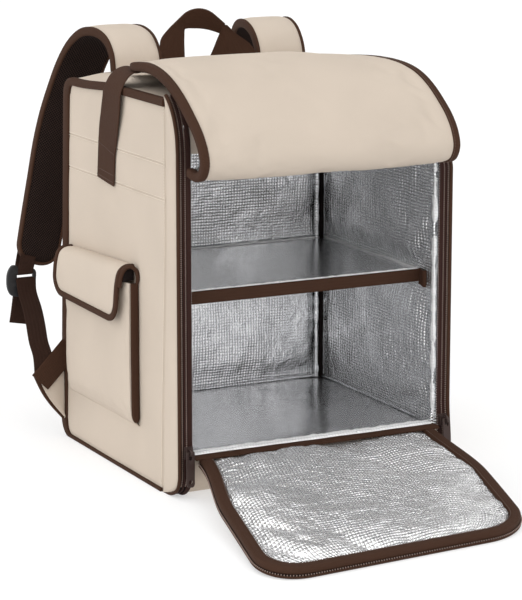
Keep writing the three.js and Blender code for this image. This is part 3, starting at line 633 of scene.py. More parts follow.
# Panels with a rounded free end, such as the door
def rounded(half, length, radius, inset):
    """Half width at each distance of a panel with rounded free corners, drawn in by inset."""
    end, turn = length - inset, radius - inset

    def edge(b):
        past = np.clip(b - (end - turn), 0, turn)
        return half(b) - inset - (turn - np.sqrt(np.maximum(turn**2 - past**2, 0)))

    return edge


def stations(length, radius, inset, count, arc=14):
    """Distances along the panel, closer together round its free corners."""
    end, turn = length - inset, radius - inset
    straight = np.linspace(0, end - turn, count, endpoint=False)
    return np.concatenate([straight, end - turn + turn * np.sin(np.linspace(0, math.pi / 2, arc + 1))])


def panel(half, length, radius, inset, columns, rows, arc):
    """a and b over the panel, and the gaps to its side edges and its free end."""
    b = stations(length, radius, inset, rows, arc)[:, None]
    edge = rounded(half, length, radius, inset)(b)
    a = edge * columns
    b = np.broadcast_to(b, a.shape)
    return a, b, (edge - np.abs(a), length - inset - b)


def edge_path(half, length, radius, count, inset=0.0):
    """(a, b) points down one edge, along the free end and back up the other edge."""
    b = stations(length, radius, inset, count)
    left = np.stack([-rounded(half, length, radius, inset)(b), b], -1)
    right = (left * [-1, 1])[::-1]
    middle = even([left[-1], right[0]], 40)[1:-1]
    return np.vstack([left, middle, right])


def rim(path, section, place):
    """Loops of a bound edge: section is (inset, height) round the tape."""
    ahead = unit(np.gradient(path, axis=0))
    inward = np.stack([ahead[:, 1], -ahead[:, 0]], -1)
    inset, height = section.T
    flat = path[:, None] + inward[:, None] * inset[None, :, None]
    return place(flat[..., 0], flat[..., 1], np.broadcast_to(height, flat.shape[:2]))


def tape(width, low, high, power=4.0, count=24, start=0.0):
    """The section of a folded tape, squarer with a higher power."""
    cos, sin = (np.sign(v) * np.abs(v) ** (2 / power) for v in ring(count))
    return np.stack([start + width / 2 * (1 - cos), (low + high) / 2 + (high - low) / 2 * sin], -1)


def ribbon(track, half, thick, count, power=5.0):
    """Loops of a flat webbing along a track."""
    section = tape(2 * half, -thick / 2, thick / 2, power, 20)
    b = np.linspace(0.0, track.length, count + 1)[:, None]
    return track.place(section[:, 0] - half, b, section[:, 1])


# Cloth sewn down along its edges
def billow(grid, out, slack, pressure, cap, stiff=12.0, bend=0.15, held=None):
    """The grid as a cloth cut larger by slack and blown out by pressure, with no point moved beyond cap."""
    k, faces = grid_faces(*grid.shape[:2])
    normal = np.cross(np.gradient(grid, axis=0), np.gradient(grid, axis=1))
    if (normal @ np.array(out, float)).sum() < 0:
        faces = faces[:, ::-1]
    mesh = bpy.data.meshes.new("cloth")
    mesh.from_pydata((grid.reshape(-1, 3) * MM).tolist(), [], faces.tolist())
    piece = bpy.data.objects.new("cloth", mesh)
    scene.collection.objects.link(piece)
    sewn = np.zeros(k.shape, bool) if held is None else held.copy()
    sewn[[0, -1]] = True
    sewn[:, [0, -1]] = True
    piece.vertex_groups.new(name="sewn").add(k[sewn].tolist(), 1, "REPLACE")
    modifier = piece.modifiers.new("cloth", "CLOTH")
    settings = modifier.settings
    settings.quality = 6
    settings.mass = 0.15
    settings.tension_stiffness = settings.compression_stiffness = settings.shear_stiffness = stiff
    settings.bending_stiffness = bend
    settings.shrink_min = -slack
    settings.use_pressure = True
    settings.uniform_pressure_force = pressure
    settings.vertex_group_mass = "sewn"
    settings.effector_weights.gravity = 0
    modifier.collision_settings.use_collision = False
    for step in range(1, 21):
        scene.frame_set(step)
    shaped = piece.evaluated_get(bpy.context.evaluated_depsgraph_get()).data
    points = np.zeros(grid.size)
    shaped.vertices.foreach_get("co", points)
    moved = points.reshape(grid.shape) / MM - grid
    far = np.linalg.norm(moved, axis=-1, keepdims=True)
    scene.frame_set(1)
    bpy.data.objects.remove(piece)
    bpy.data.meshes.remove(mesh)
    return grid + moved * cap * np.tanh(far / cap) / np.maximum(far, 1e-6)


def taut(grid, out, slack, cap):
    """A heavier cloth that swells only a little."""
    return billow(grid, out, slack, 2.0, cap, 20.0, 1.0)


# Walls of the box
def side_panels():
    back = np.vstack([corner(BACK_BOTTOM), corner(BACK_TOP)])
    seams = [line + shift for line in STITCH_LINES for shift in (-6, -3, -1.2, -0.25, 0.25, 2)]
    rows = np.clip(HEIGHT * cosine(110), GAP, HEIGHT - GAP)
    z = np.unique(np.concatenate([rows, seams]))[:, None]
    y_back = np.interp(z, back[:, 1], back[:, 0]) - GAP
    y = SEAM + (y_back - SEAM) * cosine(80)
    arc = foot(True)
    z = np.maximum(z, np.interp(y, arc[:, 0], arc[:, 1]) + GAP)
    edge = np.minimum.reduce([y - SEAM, y_back - y, z, HEIGHT - z])
    points = stack(-SIDE, y, z)
    dip = 0.3 + 1.4 * np.exp(-edge / 5) + 2.4 * np.exp(-(y - SEAM) / 1.6)
    for line in STITCH_LINES:
        dip += np.where(z < line, 1.0 * np.exp((z - line) / 3.5), 0.2 * np.exp((line - z) / 2))
    dip += uneven(points, 90, 0.7, 1) + uneven(points, 35, 0.25, 2)
    points[..., 0] += np.maximum(dip, -0.2)
    Shape().slab(points, stack(-SIDE + WALL, y, z)).make_pair("side_panel", canvas, fill=0.8)


def front_gussets():
    line = even(np.vstack([brow(), foot(False)]), 150)
    share = np.array([0, 0.05, 0.14, 0.3, 0.5, 0.7, 0.84, 0.93, 1, 1, 0])
    dip = np.array([3.6, 1.0, 0.2, -0.5, -0.8, -0.5, 0.3, 1.5, 3.4, WALL, WALL])
    y = SEAM - 0.4 + (line[:, :1] - SEAM + 0.4) * share
    Shape().sweep(stack(-SIDE + dip, y, line[:, 1:])).make_pair("front_gusset", canvas, crease=60)


def outer_wall(name, line, half, front_half, thick, seed, count=70):
    """A wall that follows a path of the side outline and spans the box behind and in front of the seam."""
    line = even(line, count)
    reach = np.where(line[:, :1] > SEAM + 1, half, front_half)
    x = reach * (2 * cosine(90) - 1)
    length = run(line)[:, None]
    edge = np.minimum(reach - np.abs(x), np.minimum(length, length[-1] - length))
    dip = -1.2 * np.exp(-edge / 6) + uneven(spread(x, line, np.zeros(x.shape)), 80, 0.6, seed)
    inner = spread(x, line, np.full(x.shape, -float(thick)))
    Shape().slab(spread(x, line, np.minimum(dip, 0.3)), inner).make(name, canvas, fill=0.8)


def outer_walls():
    join = BACK - BACK_RADIUS - 4
    heel = BACK + BACK_LEAN - BACK_RADIUS - 6
    full, inner = SIDE - 1.5, SIDE - WALL
    top = np.vstack([[join, HEIGHT], [SEAM + 12, HEIGHT], brow()])
    outer_wall("top_panel", top, full, inner, WALL, 3)
    back = np.vstack([[heel, 0], corner(BACK_BOTTOM), corner(BACK_TOP), [join, HEIGHT]])
    outer_wall("back_panel", back, full, full, BACK_WALL, 4, 120)
    outer_wall("base_panel", [[FRONT + FOOT_RADIUS, 0], [heel, 0]], full, full, WALL, 5)
    sill = np.vstack([[FRONT, SILL_TOP], corner(FRONT_BOTTOM)])
    outer_wall("front_sill", sill, inner + 1.5, inner + 1.5, WALL, 6, 40)


def side_bindings():
    line = np.vstack([foot(True), corner(BACK_BOTTOM), corner(BACK_TOP), [SEAM, HEIGHT]])
    line = even(line, 260)
    normal = outward(line)
    level = np.where(normal[:, 1] > 0, 8.0, 4.0)
    width = 14 * np.abs(normal[:, 0]) + level * np.abs(normal[:, 1])
    share = np.array([1, 1, 0.95, 0.5, 0.15, 0, 0, 0, 0, 0, 0, 0])
    inset = np.array([0, 0, 0, 0, 0, -0.4, -1.0, -1.2, -1.2, -0.9, 0.5, 0.5])
    out = np.array([-0.8, 1.5, 2.2, 2.7, 2.5, 2.0, 0.8, -1.5, -5, -6, -6, -0.8])
    loops = spread(-SIDE - out, line, -(width[:, None] * share + inset), 0.2)
    Shape().sweep(loops).make_pair("side_binding", brown_tape, crease=50)


# Piping, zip tape and teeth up both edges of the opening
def front_edges():
    line = even(np.vstack([brow(), corner(FRONT_BOTTOM)]), 240)

    def spots(x, offset, pitch):
        """Even spots up the edge, and the directions out of the box there."""
        yz = even(line[:-16], int(run(line)[-1] / pitch))
        out = stack(0.0, *outward(yz).T)
        return stack(x, *yz.T) + out * offset, out

    cos, sin = ring(14)
    piping = spread(PIPING_X + 2.2 * cos, line, PIPING_OUT + 1.7 * sin, 0.3)
    Shape().sweep(piping).make_pair("front_piping", brown_tape, crease=60)
    shape = Shape()
    for start, width, low, high, power, slot in ZIP_BANDS:
        section = tape(width, low, high, power, 20)
        shape.sweep(spread(start + section[:, 0], line, section[:, 1], 0.3), slot)
    shape.make_pair("zip_tape", zip_cloth, dark_tape, crease=60)
    shape = Shape()
    for x, length in TOOTH_ROWS:
        teeth, out = spots(x, 0.9, TOOTH_PITCH)
        shape.beads(teeth, (1, 0, 0), out, length, TOOTH_PITCH * 0.62, 1.3)
    shape.make_pair("zip_teeth", zip_teeth, extra=True)
    stitches, out = spots(ZIP_STITCH_X, 1.5, 3.0)
    shape = Shape().beads(stitches, np.gradient(stitches, axis=0), out, 1.7, 0.8, 0.8)
    shape.make_pair("zip_tape_stitches", silver_thread, extra=True)


# Foil lining
def lining(name, base, normal, thick, cap, slack, material, seed, held=None, roll=0.0, loose=1.0):
    """A padded lining: base is a grid on the wall's face, sewn down along its edges, loose the share that
    moves and roll a swelling that stays as it is."""
    normal = np.array(normal, float)
    shares = (np.linspace(0, 1, count) for count in base.shape[:2])
    rows, columns = (smooth(12 * np.minimum(t, 1 - t)) for t in shares)
    rough = 0.3 * cap + uneven(base, 60, 0.3 * cap, seed) + uneven(base, 18, 0.16 * cap, seed + 1)
    swell = loose * (rows[:, None] * columns) * rough
    start = base + normal * (swell + roll)[..., None]
    top = start + (billow(start, normal, slack, 2.5, cap, held=held) - start) * np.expand_dims(loose, -1)
    Shape().slab(top, base - normal * thick).make(name, material, fill=0.6)


def off_shelf(z):
    """Distance from the middle of the shelf, where the linings are pressed flat."""
    return np.abs(z - SHELF_TOP + 6)


def side_linings(z):
    front = np.interp(z, LINING_FRONT_Z, LINING_FRONT_Y)
    share = np.concatenate([np.linspace(0, 0.09, 10, endpoint=False), np.linspace(0.09, 1, 66)])
    y = front + (BACK_INSIDE - 0.3 - front) * share
    z = np.broadcast_to(z, y.shape)
    loose = smooth((z - SILL_TOP) / 36) * smooth((off_shelf(z) - 7) / 32)
    loose = loose * (0.2 + 0.8 * smooth((y - front) / 60)) * smooth((BACK_INSIDE - 4 - y) / 30)
    pressed = (off_shelf(z) < 9) & (y > SHELF_FRONT - 24)
    left = stack(-float(INSIDE), y, z)
    held = pressed | (y < front + 14)
    lining("lining_side_left", left, (1, 0, 0), 9.5, 6, 0.035, foil_side, 19, held, loose=loose)

    right = left * [-1, 1, 1]
    roll = 2.6 * np.exp(-(((y - front - 8) / 7) ** 2)) * smooth((y - front) / 6)
    roll = roll * (1 - 0.9 * pressed) * (1 + uneven(right * [1, 0.2, 1], 50, 0.5, 29))
    near = smooth((-30 - y) / 90) * smooth((y - front) / 8) * smooth((off_shelf(z) - 9) / 12)
    roll = roll + near * (uneven(right * [1, 1, 0.6], 13, 2.0, 27) + uneven(right * [1, 0.6, 1], 30, 1.6, 28))
    lining("lining_side_right", right, (-1, 0, 0), 9.5, 6, 0.035, foil_side, 21, pressed, roll, loose)


def linings():
    z = np.linspace(SILL_TOP + 0.3, CEILING - 0.3, 96)[:, None]
    side_linings(z)
    x = np.linspace(-INSIDE, INSIDE, 80)
    base = stack(x, float(BACK_INSIDE), z)
    pressed = np.broadcast_to(off_shelf(z) < 9, base.shape[:2])
    loose = smooth((z - SILL_TOP) / 36) * smooth((off_shelf(z) - 7) / 80) * smooth((INSIDE - np.abs(x)) / 26)
    lining("lining_back", base, (0, -1, 0), 9, 6, 0.032, foil_wall, 31, pressed, loose=loose)
    y = np.linspace(-146.5, BACK_INSIDE, 60)[:, None]
    lining("lining_floor", stack(x, y, float(SILL_TOP)), (0, 0, 1), 34, 2.2, 0.004, foil_plain, 41)
    y = np.linspace(SEAM + 3, BACK_INSIDE - 3, 50)[:, None]
    lining("lining_ceiling", stack(x, y, float(CEILING)), (0, 0, -1), 5.5, 4, 0.02, foil_wall, 47)


def seam_beads():
    """Rolled foil along the seams of the linings, some in white foil as painted highlights, and the dark
    strips in the back corners.
    """
    beads = Shape()
    low = SILL_TOP + SEAM_BEAD_IN
    y = np.linspace(BACK_INSIDE - 4, FRONT + 6, 80)[:, None]
    for side in (-1, 1):
        beads.bead(side * (INSIDE - SEAM_BEAD_IN), y, low, (0, 2), SEAM_BEAD)
    x = np.linspace(-INSIDE + 4, INSIDE - 4, 80)[:, None]
    beads.bead(x, BACK_INSIDE - SEAM_BEAD_IN, low, (1, 2), SEAM_BEAD)
    # The two beads by the door hinge take slot 1, the white foil: painted highlights
    x = np.linspace(-INSIDE + 1, INSIDE - 1, 160)[:, None]
    girth = SEAM_BEAD * (1.7 + uneven(stack(x, 0.0, 0.0), 7, 0.5, 53))
    for y in (-146.0, -138.5):
        beads.bead(x, y, SILL_TOP + 1.4, (1, 2), girth, 1)
    z = np.linspace(SILL_TOP + 2, CEILING - 2, 150)[:, None]
    for side in (-1, 1):
        spot = stack(side * 148.0, 0.0, z)
        girth = SEAM_BEAD * (1.25 + uneven(spot, 6, 0.6, 51) + uneven(spot, 17, 0.5, 52))
        beads.bead(side * CORNER_BEAD_X, BACK_INSIDE - 6.5, z, (0, 1), girth)
    # The bead up the right wall's front edge takes slot 1, the white foil: a painted highlight
    z = np.linspace(SILL_TOP + 3, 418, 150)[:, None]
    y = np.interp(z, [SILL_TOP, 405, 421], [-148, -148, -145])
    spot = stack(INSIDE, y, z)
    girth = SEAM_BEAD * (1.6 + uneven(spot, 7, 0.7, 54) + uneven(spot, 24, 0.9, 55))
    beads.bead(INSIDE - 1.0, y, z, (0, 1), girth, 1, 2)
    beads.make("floor_seam_beads", foil_wall, foil_painted_highlight, extra=True)

    section = tape(6.0, 0, 4.6, 2.6, 16)
    z = np.linspace(SILL_TOP + 0.6, CEILING - 0.6, 60)[:, None]
    strip = stack(CORNER_STRIP_X + section[:, 0], BACK_INSIDE - 3 - section[:, 1], z)
    Shape().sweep(strip).make_pair("corner_strip", dark_tape, crease=60)


def shelf():
    half = INSIDE - 0.5
    back = BACK_INSIDE - 5
    # The lips round the shelf are made in the white foil: painted highlights along its edges
    lip_x = np.linspace(-half + 1, half - 1, 170)[:, None]
    girth = 1.6 + uneven(stack(lip_x, 0.0, 0.0), 6, 0.6, 63)
    lips = Shape().bead(lip_x, SHELF_FRONT + 2.6, SHELF_TOP + 0.6, (1, 2), girth)
    x = np.linspace(-half + 4, half - 4, 60)[:, None]
    lips.bead(x, back + 0.8, SHELF_TOP + 0.2, (1, 2), 1.5)
    y = np.linspace(SHELF_FRONT + 6, back, 60)[:, None]
    for side in (-half, half):
        lips.bead(side, y, SHELF_TOP + 0.2, (0, 2), 1.5)
    lips.make("shelf_lip", foil_painted_highlight, extra=True)

    x = half * (2 * cosine(90) - 1)
    y = (SHELF_FRONT + (back - SHELF_FRONT) * cosine(70))[:, None]
    edge = np.minimum(half - np.abs(x), np.minimum(y - SHELF_FRONT, back - y))
    z = SHELF_TOP - 1.6 * np.exp(-edge / 1.6) + 0.7 * np.exp(-(((y - SHELF_FRONT - 5) / 2.5) ** 2))
    z = z + uneven(stack(x, y, z), 110, 0.5, 61)
    board = Shape().slab(stack(x, y, z), stack(x, y, SHELF_TOP - SHELF_THICK))
    board.make("shelf_board", foil_plain, fill=0.9)

    section = tape(15, 0.2, 4.2, 3.2, 22)
    x = np.linspace(-half, half, 80)[:, None]
    loop = stack(x, SHELF_FRONT - section[:, 1], SHELF_TOP + 1.2 - section[:, 0])
    Shape().sweep(loop).make("shelf_binding", brown_tape, crease=60)
    tab = Track([(x, y, SHELF_TAB_Z) for x, y in SHELF_TAB_XY], flat=(0, 0, 1))
    Shape().sweep(ribbon(tab, 10, 2.0, 30, 3)).make_pair("shelf_tab", brown_tape)


# Door let down to the floor
def door_place(a, b, h):
    v = np.clip(b / DOOR_LENGTH, 0, 1)
    z = DOOR_DROP * (1 - v) ** DOOR_BEND
    reach = b * (1 - DOOR_TILT * v * a / DOOR_HALF)
    return stack(a - DOOR_SKEW * v**DOOR_BEND, DOOR_HINGE_Y - reach, z + h)


def door_half(b):
    return DOOR_HALF_AT_HINGE + (DOOR_HALF - DOOR_HALF_AT_HINGE) * smooth(b / DOOR_LENGTH / 0.45)


def door_path(inset=0.0):
    return edge_path(door_half, DOOR_LENGTH, DOOR_CORNER, 70, inset)


def door():
    across = np.linspace(-1, 1, 84)
    a, b, gaps = panel(door_half, DOOR_LENGTH, DOOR_CORNER, DOOR_RIM - GAP, across, 70, 24)
    flat = stack(a, b, 0.0)
    rise = away(11, *gaps, b + 4)
    swell = 7.5 + 3.0 * rise + rise * (uneven(flat, 75, 4.0, 71) + uneven(flat, 22, 1.2, 72))
    top = billow(door_place(a, b, swell), (0, 0, 1), 0.045, 2.5, 9, held=b < 9)
    Shape().slab(top, door_place(a, b, 6.9)).make("door_lining", foil_door, fill=0.5)
    under = np.maximum(0.6 + uneven(flat, 60, 0.5, 74), 0.2)
    Shape().slab(door_place(a, b, 6.6), door_place(a, b, under)).make("door_shell", canvas, fill=0.6)

    loops = rim(door_path(), tape(DOOR_RIM, 3.6, 12.6, 3.2, 24), door_place)
    Shape().sweep(loops).make("door_binding", brown_tape, crease=60)
    outer = door_path(-1.0)
    shape = Shape().sweep(rim(outer, tape(5.5, 0.3, 3.6, 2.4, 16), door_place))
    shape.sweep(rim(outer, tape(3.5, 3.2, 4.6, 2.4, 12, 0.8), door_place), 1)
    shape.make("door_zip", brown_tape, dark_tape, crease=60)
    line = door_place(outer[:, 0], outer[:, 1], 4.6)
    teeth = even(line, int(run(line)[-1] / 3.2))
    up = np.array([0.0, 0, 1])
    out = np.cross(unit(np.gradient(teeth, axis=0)), up)
    Shape().beads(teeth, up, out, 1.5, 1.2, 1.6).make("door_teeth", zip_teeth, extra=True)

    yz = even(through([(0, y, z) for y, z in HINGE_YZ], 40), 20)
    x = np.linspace(-159.5, 158, 70)
    grid = stack(x, yz[:, 1, None], yz[:, 2, None])
    grid[..., 2] += uneven(grid, 30, 0.4, 75)
    band = Shape().sheet(grid, 1.8).make("door_hinge", brown_tape, crease=60)
    run(yz)[-1] * MM


# Lid thrown back over the top
lid_track = Track([(0, y, z) for y, z in LID_YZ])


def lid_place(a, b, h):
    points = lid_track.place(a, b, h)
    x, y = points[..., 0], points[..., 1]
    points[..., 2] -= LID_FALL * smooth((x - 5) / 120) * np.exp(-(((y + 62) / 75) ** 2))
    return points


def lid_taper(b):
    return LID_TAPER * (1 - smooth(b / LID_TAPER_LONG))


def lid_thin(b):
    """The lid is pressed thinner towards its root."""
    return 0.5 + 0.5 * smooth((b - 40) / 90)


def lid():
    b = np.linspace(0, lid_track.length, 100)[:, None]
    left = LID_LEFT + RIM - GAP + lid_taper(b)
    right = LID_RIGHT - RIM + GAP - lid_taper(b)
    a = left + (right - left) * np.linspace(0, 1, 76)
    b = np.broadcast_to(b, a.shape)
    rise = away(10, np.minimum(a - left, right - a))
    flat = stack(a, b, 0.0)
    swell = 1.2 - 2.0 * rise - rise * (uneven(flat, 95, 1.2, 81) + uneven(flat, 40, 0.35, 82))
    outside = taut(lid_place(a, b, swell), (0, -0.5, 1), 0.006, 2.5)
    thin = lid_thin(b)
    shell = Shape().slab(outside, lid_place(a, b, thin * (LID_THICK - LID_FOIL - 0.3)))
    shell.make("lid_shell", canvas, fill=0.6, settled=False)
    under = LID_THICK + rise * (0.8 + uneven(flat, 50, 1.0, 83))
    inner = Shape().slab(lid_place(a, b, thin * (LID_THICK - LID_FOIL)), lid_place(a, b, thin * under))
    inner.make("lid_lining", foil_wall, fill=0.5, settled=False)
    section = tape(RIM, -0.9, LID_THICK + 0.9, 3.2, 22)
    rows = np.linspace(0, lid_track.length, 170)[:, None]
    for side, start, sign in (("left", LID_LEFT, 1), ("right", LID_RIGHT, -1)):
        across = start + sign * (section[:, 0] + lid_taper(rows))
        shape = Shape().sweep(lid_place(across, rows, section[:, 1] * lid_thin(rows)))
        shape.make(f"lid_binding_{side}", brown_tape, crease=60, settled=False)


# Side pocket
flap_track = Track([(0, out, z) for out, z in FLAP_OUT_Z])


def flap_place(a, b, h):
    point, along = flap_track.at(b)
    slope = FLAP_SLOPE * (1 - 1.4 * smooth(b / flap_track.length))
    z = point[..., 2] + along[..., 1] * h + slope * a / FLAP_HALF
    return stack(-SIDE - point[..., 1] + along[..., 2] * h, FLAP_MIDDLE - a, z)


def flap_half(b):
    return np.full(np.shape(b), float(FLAP_HALF))


def pocket():
    y = np.linspace(POCKET_FRONT, POCKET_BACK, 60)[None, :]
    z = np.linspace(POCKET_LOW, POCKET_HIGH, 54)[:, None]
    rise = away(6, z - POCKET_LOW) * away(7, POCKET_BACK - y)
    belly = 0.8 * np.sin(math.pi * (z - POCKET_LOW) / 176)
    out = POCKET_DEEP * rise + rise * (uneven(stack(0.0, y, z), 60, 1.0, 91) + belly)
    face = taut(stack(-SIDE - 0.3 - out, y, z), (-1, 0, 0), 0.006, 2.0)
    inner = stack(-SIDE - 0.1 - np.maximum(out - 2, 0.0), y, z)
    Shape().slab(face, inner).make("pocket_pouch", canvas, fill=0.3)

    loops = []
    for z, low, high in even(POCKET_STRIP, 60):
        section = tape(high - low, 0, 3.4, 2.4, 16, low)
        loops.append(stack(-SIDE - section[:, 0], POCKET_FRONT - section[:, 1], z))
    Shape().sweep(np.array(loops)).make("pocket_gusset", brown_tape, crease=60)

    length = flap_track.length
    a, b, gaps = panel(flap_half, length, FLAP_CORNER, FLAP_RIM - 0.6, 2 * cosine(70) - 1, 50, 18)
    rise = away(5, *gaps)
    top = 2.0 + 1.8 * rise + rise * uneven(stack(a, b, 0.0), 50, 0.7, 92)
    Shape().slab(flap_place(a, b, top), flap_place(a, b, 0.2)).make("pocket_flap", canvas, fill=0.4)
    path = edge_path(flap_half, length, FLAP_CORNER, 50)
    shape = Shape().sweep(rim(path, tape(FLAP_RIM, -0.4, 4.4, 3, 20), flap_place))
    arch = through(ARCH_XYZ, 60)
    front = np.array([0.0, 1, 0])
    side = unit(np.cross(unit(np.gradient(arch, axis=0)), front))
    cos, sin = (v[:, None] for v in ring(14))
    girth = (1 - 0.7 * smooth(np.linspace(-3, 1, 61)))[:, None, None]
    shape.sweep(arch[:, None] + girth * (2.4 * cos * side[:, None] + 3.2 * sin * front))
    # A near-black block fills the opening of the arch loop, behind it: painted shade
    shape.block((-193.5, -46, 233), (-180.5, -43.5, 246), 1.0, 1)
    shape.make("pocket_flap_binding", brown_tape, dark_tape, crease=60)


# Webbing handles
mirrored_grab = [(-x, y, min(z, GRAB_RIGHT_TOP)) for x, y, z in GRAB_LEFT_XYZ[-2::-1]]
grab_track = Track(GRAB_LEFT_XYZ + mirrored_grab, flat=(0, 1, 0))


def handles():
    shape = Shape().sweep(ribbon(grab_track, GRAB_HALF, 2.0, 260))
    shape.make("grab_strap", brown_tape, crease=60)
    across = np.linspace(0, 1, 9)[None, :, None]
    outer, inner = (through(rail, 90)[:, None] for rail in (HANDLE_OUTER_XYZ, HANDLE_INNER_XYZ))
    arch = outer * (1 - across) + inner * across
    left, fold, right = (through(rail, 50)[:, None] for rail in HANDLE_LEG_XYZ)
    leg = np.concatenate([left + (fold - left) * across[:, :-1], fold + (right - fold) * across], axis=1)
    shape = Shape().sheet(arch, 2.0).sheet(leg, 2.0)
    shape.make("top_handle", brown_tape, crease=30)


# Shoulder straps
strap_track = Track(STRAP_XYZ)


def strap_half(b):
    return STRAP_HALF + (STRAP_END_HALF - STRAP_HALF) * smooth((b / strap_track.length - 0.4) / 0.6)


def arc(a, b, radius, start, turn):
    """(a, b) points every 15 degrees round an arc."""
    angles = np.radians(np.arange(start, start + turn + 1, 15))
    return [(a + radius * math.cos(t), b + radius * math.sin(t)) for t in angles]


def window(half, low, high, radius):
    """A rectangular hole with rounded corners."""
    left, right, bottom, top = radius - half, half - radius, low + radius, high - radius
    turns = ((right, top, 0), (left, top, 90), (left, bottom, 180), (right, bottom, 270))
    return [point for a, b, start in turns for point in arc(a, b, radius, start, 90)]


def shoulder_straps():
    length, place = strap_track.length, strap_track.place
    across = np.linspace(-1, 1, 24)
    a, b, gaps = panel(strap_half, length, STRAP_END_RADIUS, STRAP_RIM - GAP, across, 130, 16)
    rise = away(6, *gaps)
    flat = stack(a, b, 0.0)
    top = STRAP_THICK - 1.5 + 3.0 * rise + rise * uneven(flat, 60, 0.8, 95)
    pad = Shape().slab(taut(place(a, b, top), (0, 1, 0.5), 0.005, 2.0), place(a, b, 0.1))
    pad.make_pair("strap_pad", canvas, fill=0.7)
    under = -STRAP_MESH + 0.6 - 2.2 * rise - rise * uneven(flat, 50, 0.6, 96)
    net = Shape().slab(place(a, b, -0.1), place(a, b, under))
    net.make_pair("strap_mesh", mesh_cloth, fill=0.7)
    path = edge_path(strap_half, length, STRAP_END_RADIUS, 130)
    loops = rim(path, tape(STRAP_RIM, -STRAP_MESH - 0.6, STRAP_THICK + 0.6, 3, 20), place)
    Shape().sweep(loops).make_pair("strap_binding", brown_tape, crease=60)

    def face(b, h):
        return tuple(place(-14.0, length - b, h))

    low, high = -STRAP_MESH - 1.9, STRAP_THICK + 1.9
    (front, back), top, bar = BUCKLE_Y, BUCKLE_Z[1], BUCKLE_TOP_BAR
    round_bar = [
        (front - 1.7, top - 1), (front - 0.8, bar - 1), ((front + back) / 2, bar - 2.2),
        (back + 0.8, bar - 1), (back + 1.7, top - 1),
    ]
    round_bar = [(BUCKLE_X, y, z) for y, z in round_bar]
    tab = Track([face(9, low), face(0, low), *round_bar, face(0, high), face(20, high)])
    for name, track, half, count in (("tab", tab, 10, 90), ("webbing", Track(WEBBING_XYZ), 12.5, 150)):
        shape = Shape().sweep(ribbon(track, half, 1.6, count))
        shape.make_pair(f"strap_{name}", webbing, crease=60)

    def buckle_place(a, b, h):
        bow = 2.2 * (1 - (b / 17) ** 2)
        return stack(BUCKLE_X + a, sum(BUCKLE_Y) / 2 + h + bow - 1.5, sum(BUCKLE_Z) / 2 + b)

    edge = [(a, b) for a, b, _ in through([(a, b, 0) for a, b in BUCKLE_EDGE], 80)[:-1]]
    outlines = [edge, window(11.6, -13.4, -3.6, 1.2), window(11.6, 0.6, 11.8, 1.2)]
    Shape().plate(outlines, 5.0, 1.1, buckle_place).make_pair("ladder_buckle", plastic)


def anchor_wings():
    edge = through([(out, 0, z) for out, z in WING_OUT_Z], 60)[:, None]
    core = stack(0.0, 0.0, np.linspace(105, 28, 61))[:, None]
    t = np.linspace(0, 1, 16)
    grid = core * (1 - t[:, None]) + edge * t[:, None]
    puff = 1.6 * np.sin(math.pi * t)
    x, z = WING_ROOT - grid[..., 0], grid[..., 2]
    shape = Shape().slab(stack(x, WING_Y[0] - puff, z), stack(x, WING_Y[1] + puff, z))
    shape.make_pair("anchor_wing", canvas, crease=60)
    band, trim = (Track(line, flat=(1, 0, -1)) for line in (WING_BAND_XYZ, WING_TRIM_XYZ))
    shape = Shape().sweep(ribbon(band, 14.5, 1.8, 40)).sweep(ribbon(trim, 2.4, 4.0, 50, 3))
    shape.make_pair("anchor_tape", brown_tape, extra=True, crease=60)


# Zip sliders and pulls
def sliders():
    shape = Shape()
    for half, front, back, low, high, bevel in SLIDER_BLOCKS:
        shape.block((SLIDER_X - half, front, low), (SLIDER_X + half, back, high), bevel)
    bail = through([(PULL_X, y, z) for y, z in BAIL_YZ], 30)
    shape.tube(bail, (1, 0, 0), 1.5, 1.0, 10).make_pair("zip_slider", zip_metal)

    def pill(low, high, radius):
        return arc(0, high - radius, radius, 0, 180) + arc(0, low + radius, radius, 180, 180)

    def pull_place(a, b, h):
        return stack(PULL_X + a, PULL_Y + h, PULL_Z + b)

    left_edge = [(-a, b) for a, b in PULL_EDGE]
    edge = [left_edge[1], left_edge[0], *PULL_EDGE, *left_edge[:1:-1]]
    shape = Shape().plate([edge, pill(-9, -1, 2.5), pill(-37, -31, 2.9)], 2.0, 0.35, pull_place)
    for side, mirror in (("left", False), ("right", True)):
        shape.make(f"zip_pull_{side}", zip_metal, body=f"pull_{side}", mirror=mirror)


def stitching():
    seams = Shape()
    for line in STITCH_LINES:
        y = np.linspace(SEAM + 2, BACK + BACK_LEAN * (1 - line / HEIGHT) - 15, 60)
        for shift in (1.3, -1.9):
            seams.stitches(stack(-SIDE + 0.35, y, line + shift), (-1.0, 0, 0))
    z = np.linspace(6, HEIGHT - 10, 120)
    seams.stitches(stack(-SIDE + 0.5, SEAM + 3.2, z), (-1.0, 0, 0))
    seams.make_pair("seam_stitches", thread, extra=True)

    path = door_path(DOOR_RIM - 1.8)
    rim_row = Shape().stitches(door_place(path[:, 0], path[:, 1], 12.2), (0.0, 0, 1))
    rim_row.make("door_stitches", brown_thread, extra=True)
    lid_rows = Shape()
    rows = np.linspace(2, lid_track.length - 2, 200)
    for start, sign in ((LID_LEFT, 1), (LID_RIGHT, -1)):
        at = start + sign * (8.3 + lid_taper(rows))
        line = lid_place(at, rows, -0.55)
        lid_rows.stitches(line, lid_place(at, rows, -5.0) - line)
    lid_rows.make("lid_stitches", brown_thread, extra=True, settled=False)
    ends = Shape()
    across = np.linspace(2 - GRAB_HALF, GRAB_HALF - 2, 20)
    for b in (4.0, 12.0, 40.0):
        front, back = (grab_track.place(across, b, h) for h in (1.1, -1.1))
        ends.stitches(front, front - back, 2.8).stitches(back, back - front, 2.8)
    ends.make_pair("grab_stitches", brown_thread, extra=True)


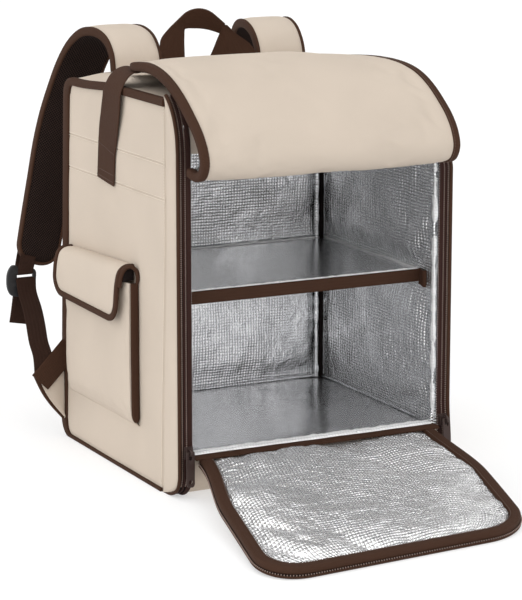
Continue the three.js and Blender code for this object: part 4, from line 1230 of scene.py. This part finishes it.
# Studio: pale floor, soft light and the camera
def place_object(name, data, place=(0, 0, 0), aim=None):
    item = bpy.data.objects.new(name, data)
    item.location = place
    if aim:
        item.rotation_euler = Vector(aim).to_track_quat("-Z", "Y").to_euler()
    scene.collection.objects.link(item)
    return item


def studio():
    glow = {"Specular IOR Level": 0.0, "Emission Color": (1, 1, 1, 1), "Emission Strength": 0.5}
    floor_nodes = Nodes("floor", 0.9, **glow)
    colour = floor_nodes.mix(floor_nodes.noise(3, 2), (0.49, 0.49, 0.49, 1), (0.51, 0.51, 0.51, 1))
    mesh = bpy.data.meshes.new("floor")
    mesh.from_pydata([(-30, -30, 0), (30, -30, 0), (30, 30, 0), (-30, 30, 0)], [], [(0, 1, 2, 3)])
    mesh.materials.append(floor_nodes.set(color=colour))
    place_object("floor", mesh)

    scene.world = bpy.data.worlds.new("studio")
    sky = Tree(scene.world, "Generated")
    panels = sky.between(sky.noise(2.4, 1.0), 0.2, 1.78, 0.38, 0.62, "SMOOTHSTEP")
    towards = {0: sky.place, 1: LIGHT_SIDE}
    side = sky.node("ShaderNodeVectorMath", towards, "Value", operation="DOT_PRODUCT")
    strength = sky.sum("MULTIPLY", panels, sky.between(side, 0.76, 1.4, 0.1, 1.0))
    background = sky.tree.nodes["Background"].inputs
    background["Color"].default_value = (1, 1, 1, 1)
    sky.tree.links.new(strength, background["Strength"])
    for name, place, size, power in LAMPS:
        light = bpy.data.lights.new(name, "AREA")
        light.shape, light.size, light.energy = "DISK", size, power
        place_object(name, light, place, Vector(LAMP_AIM) - Vector(place))

    camera = bpy.data.cameras.new("camera")
    camera.lens, camera.sensor_width = LENS, SENSOR
    camera.clip_start, camera.clip_end = 0.05, 80
    scene.camera = place_object("camera", camera, CAMERA_PLACE, CAMERA_AIM)
    scene.view_settings.view_transform = "Standard"


studio()
side_panels()
front_gussets()
outer_walls()
side_bindings()
front_edges()
linings()
seam_beads()
shelf()
door()
lid()
pocket()
handles()
shoulder_straps()
anchor_wings()
sliders()
stitching()
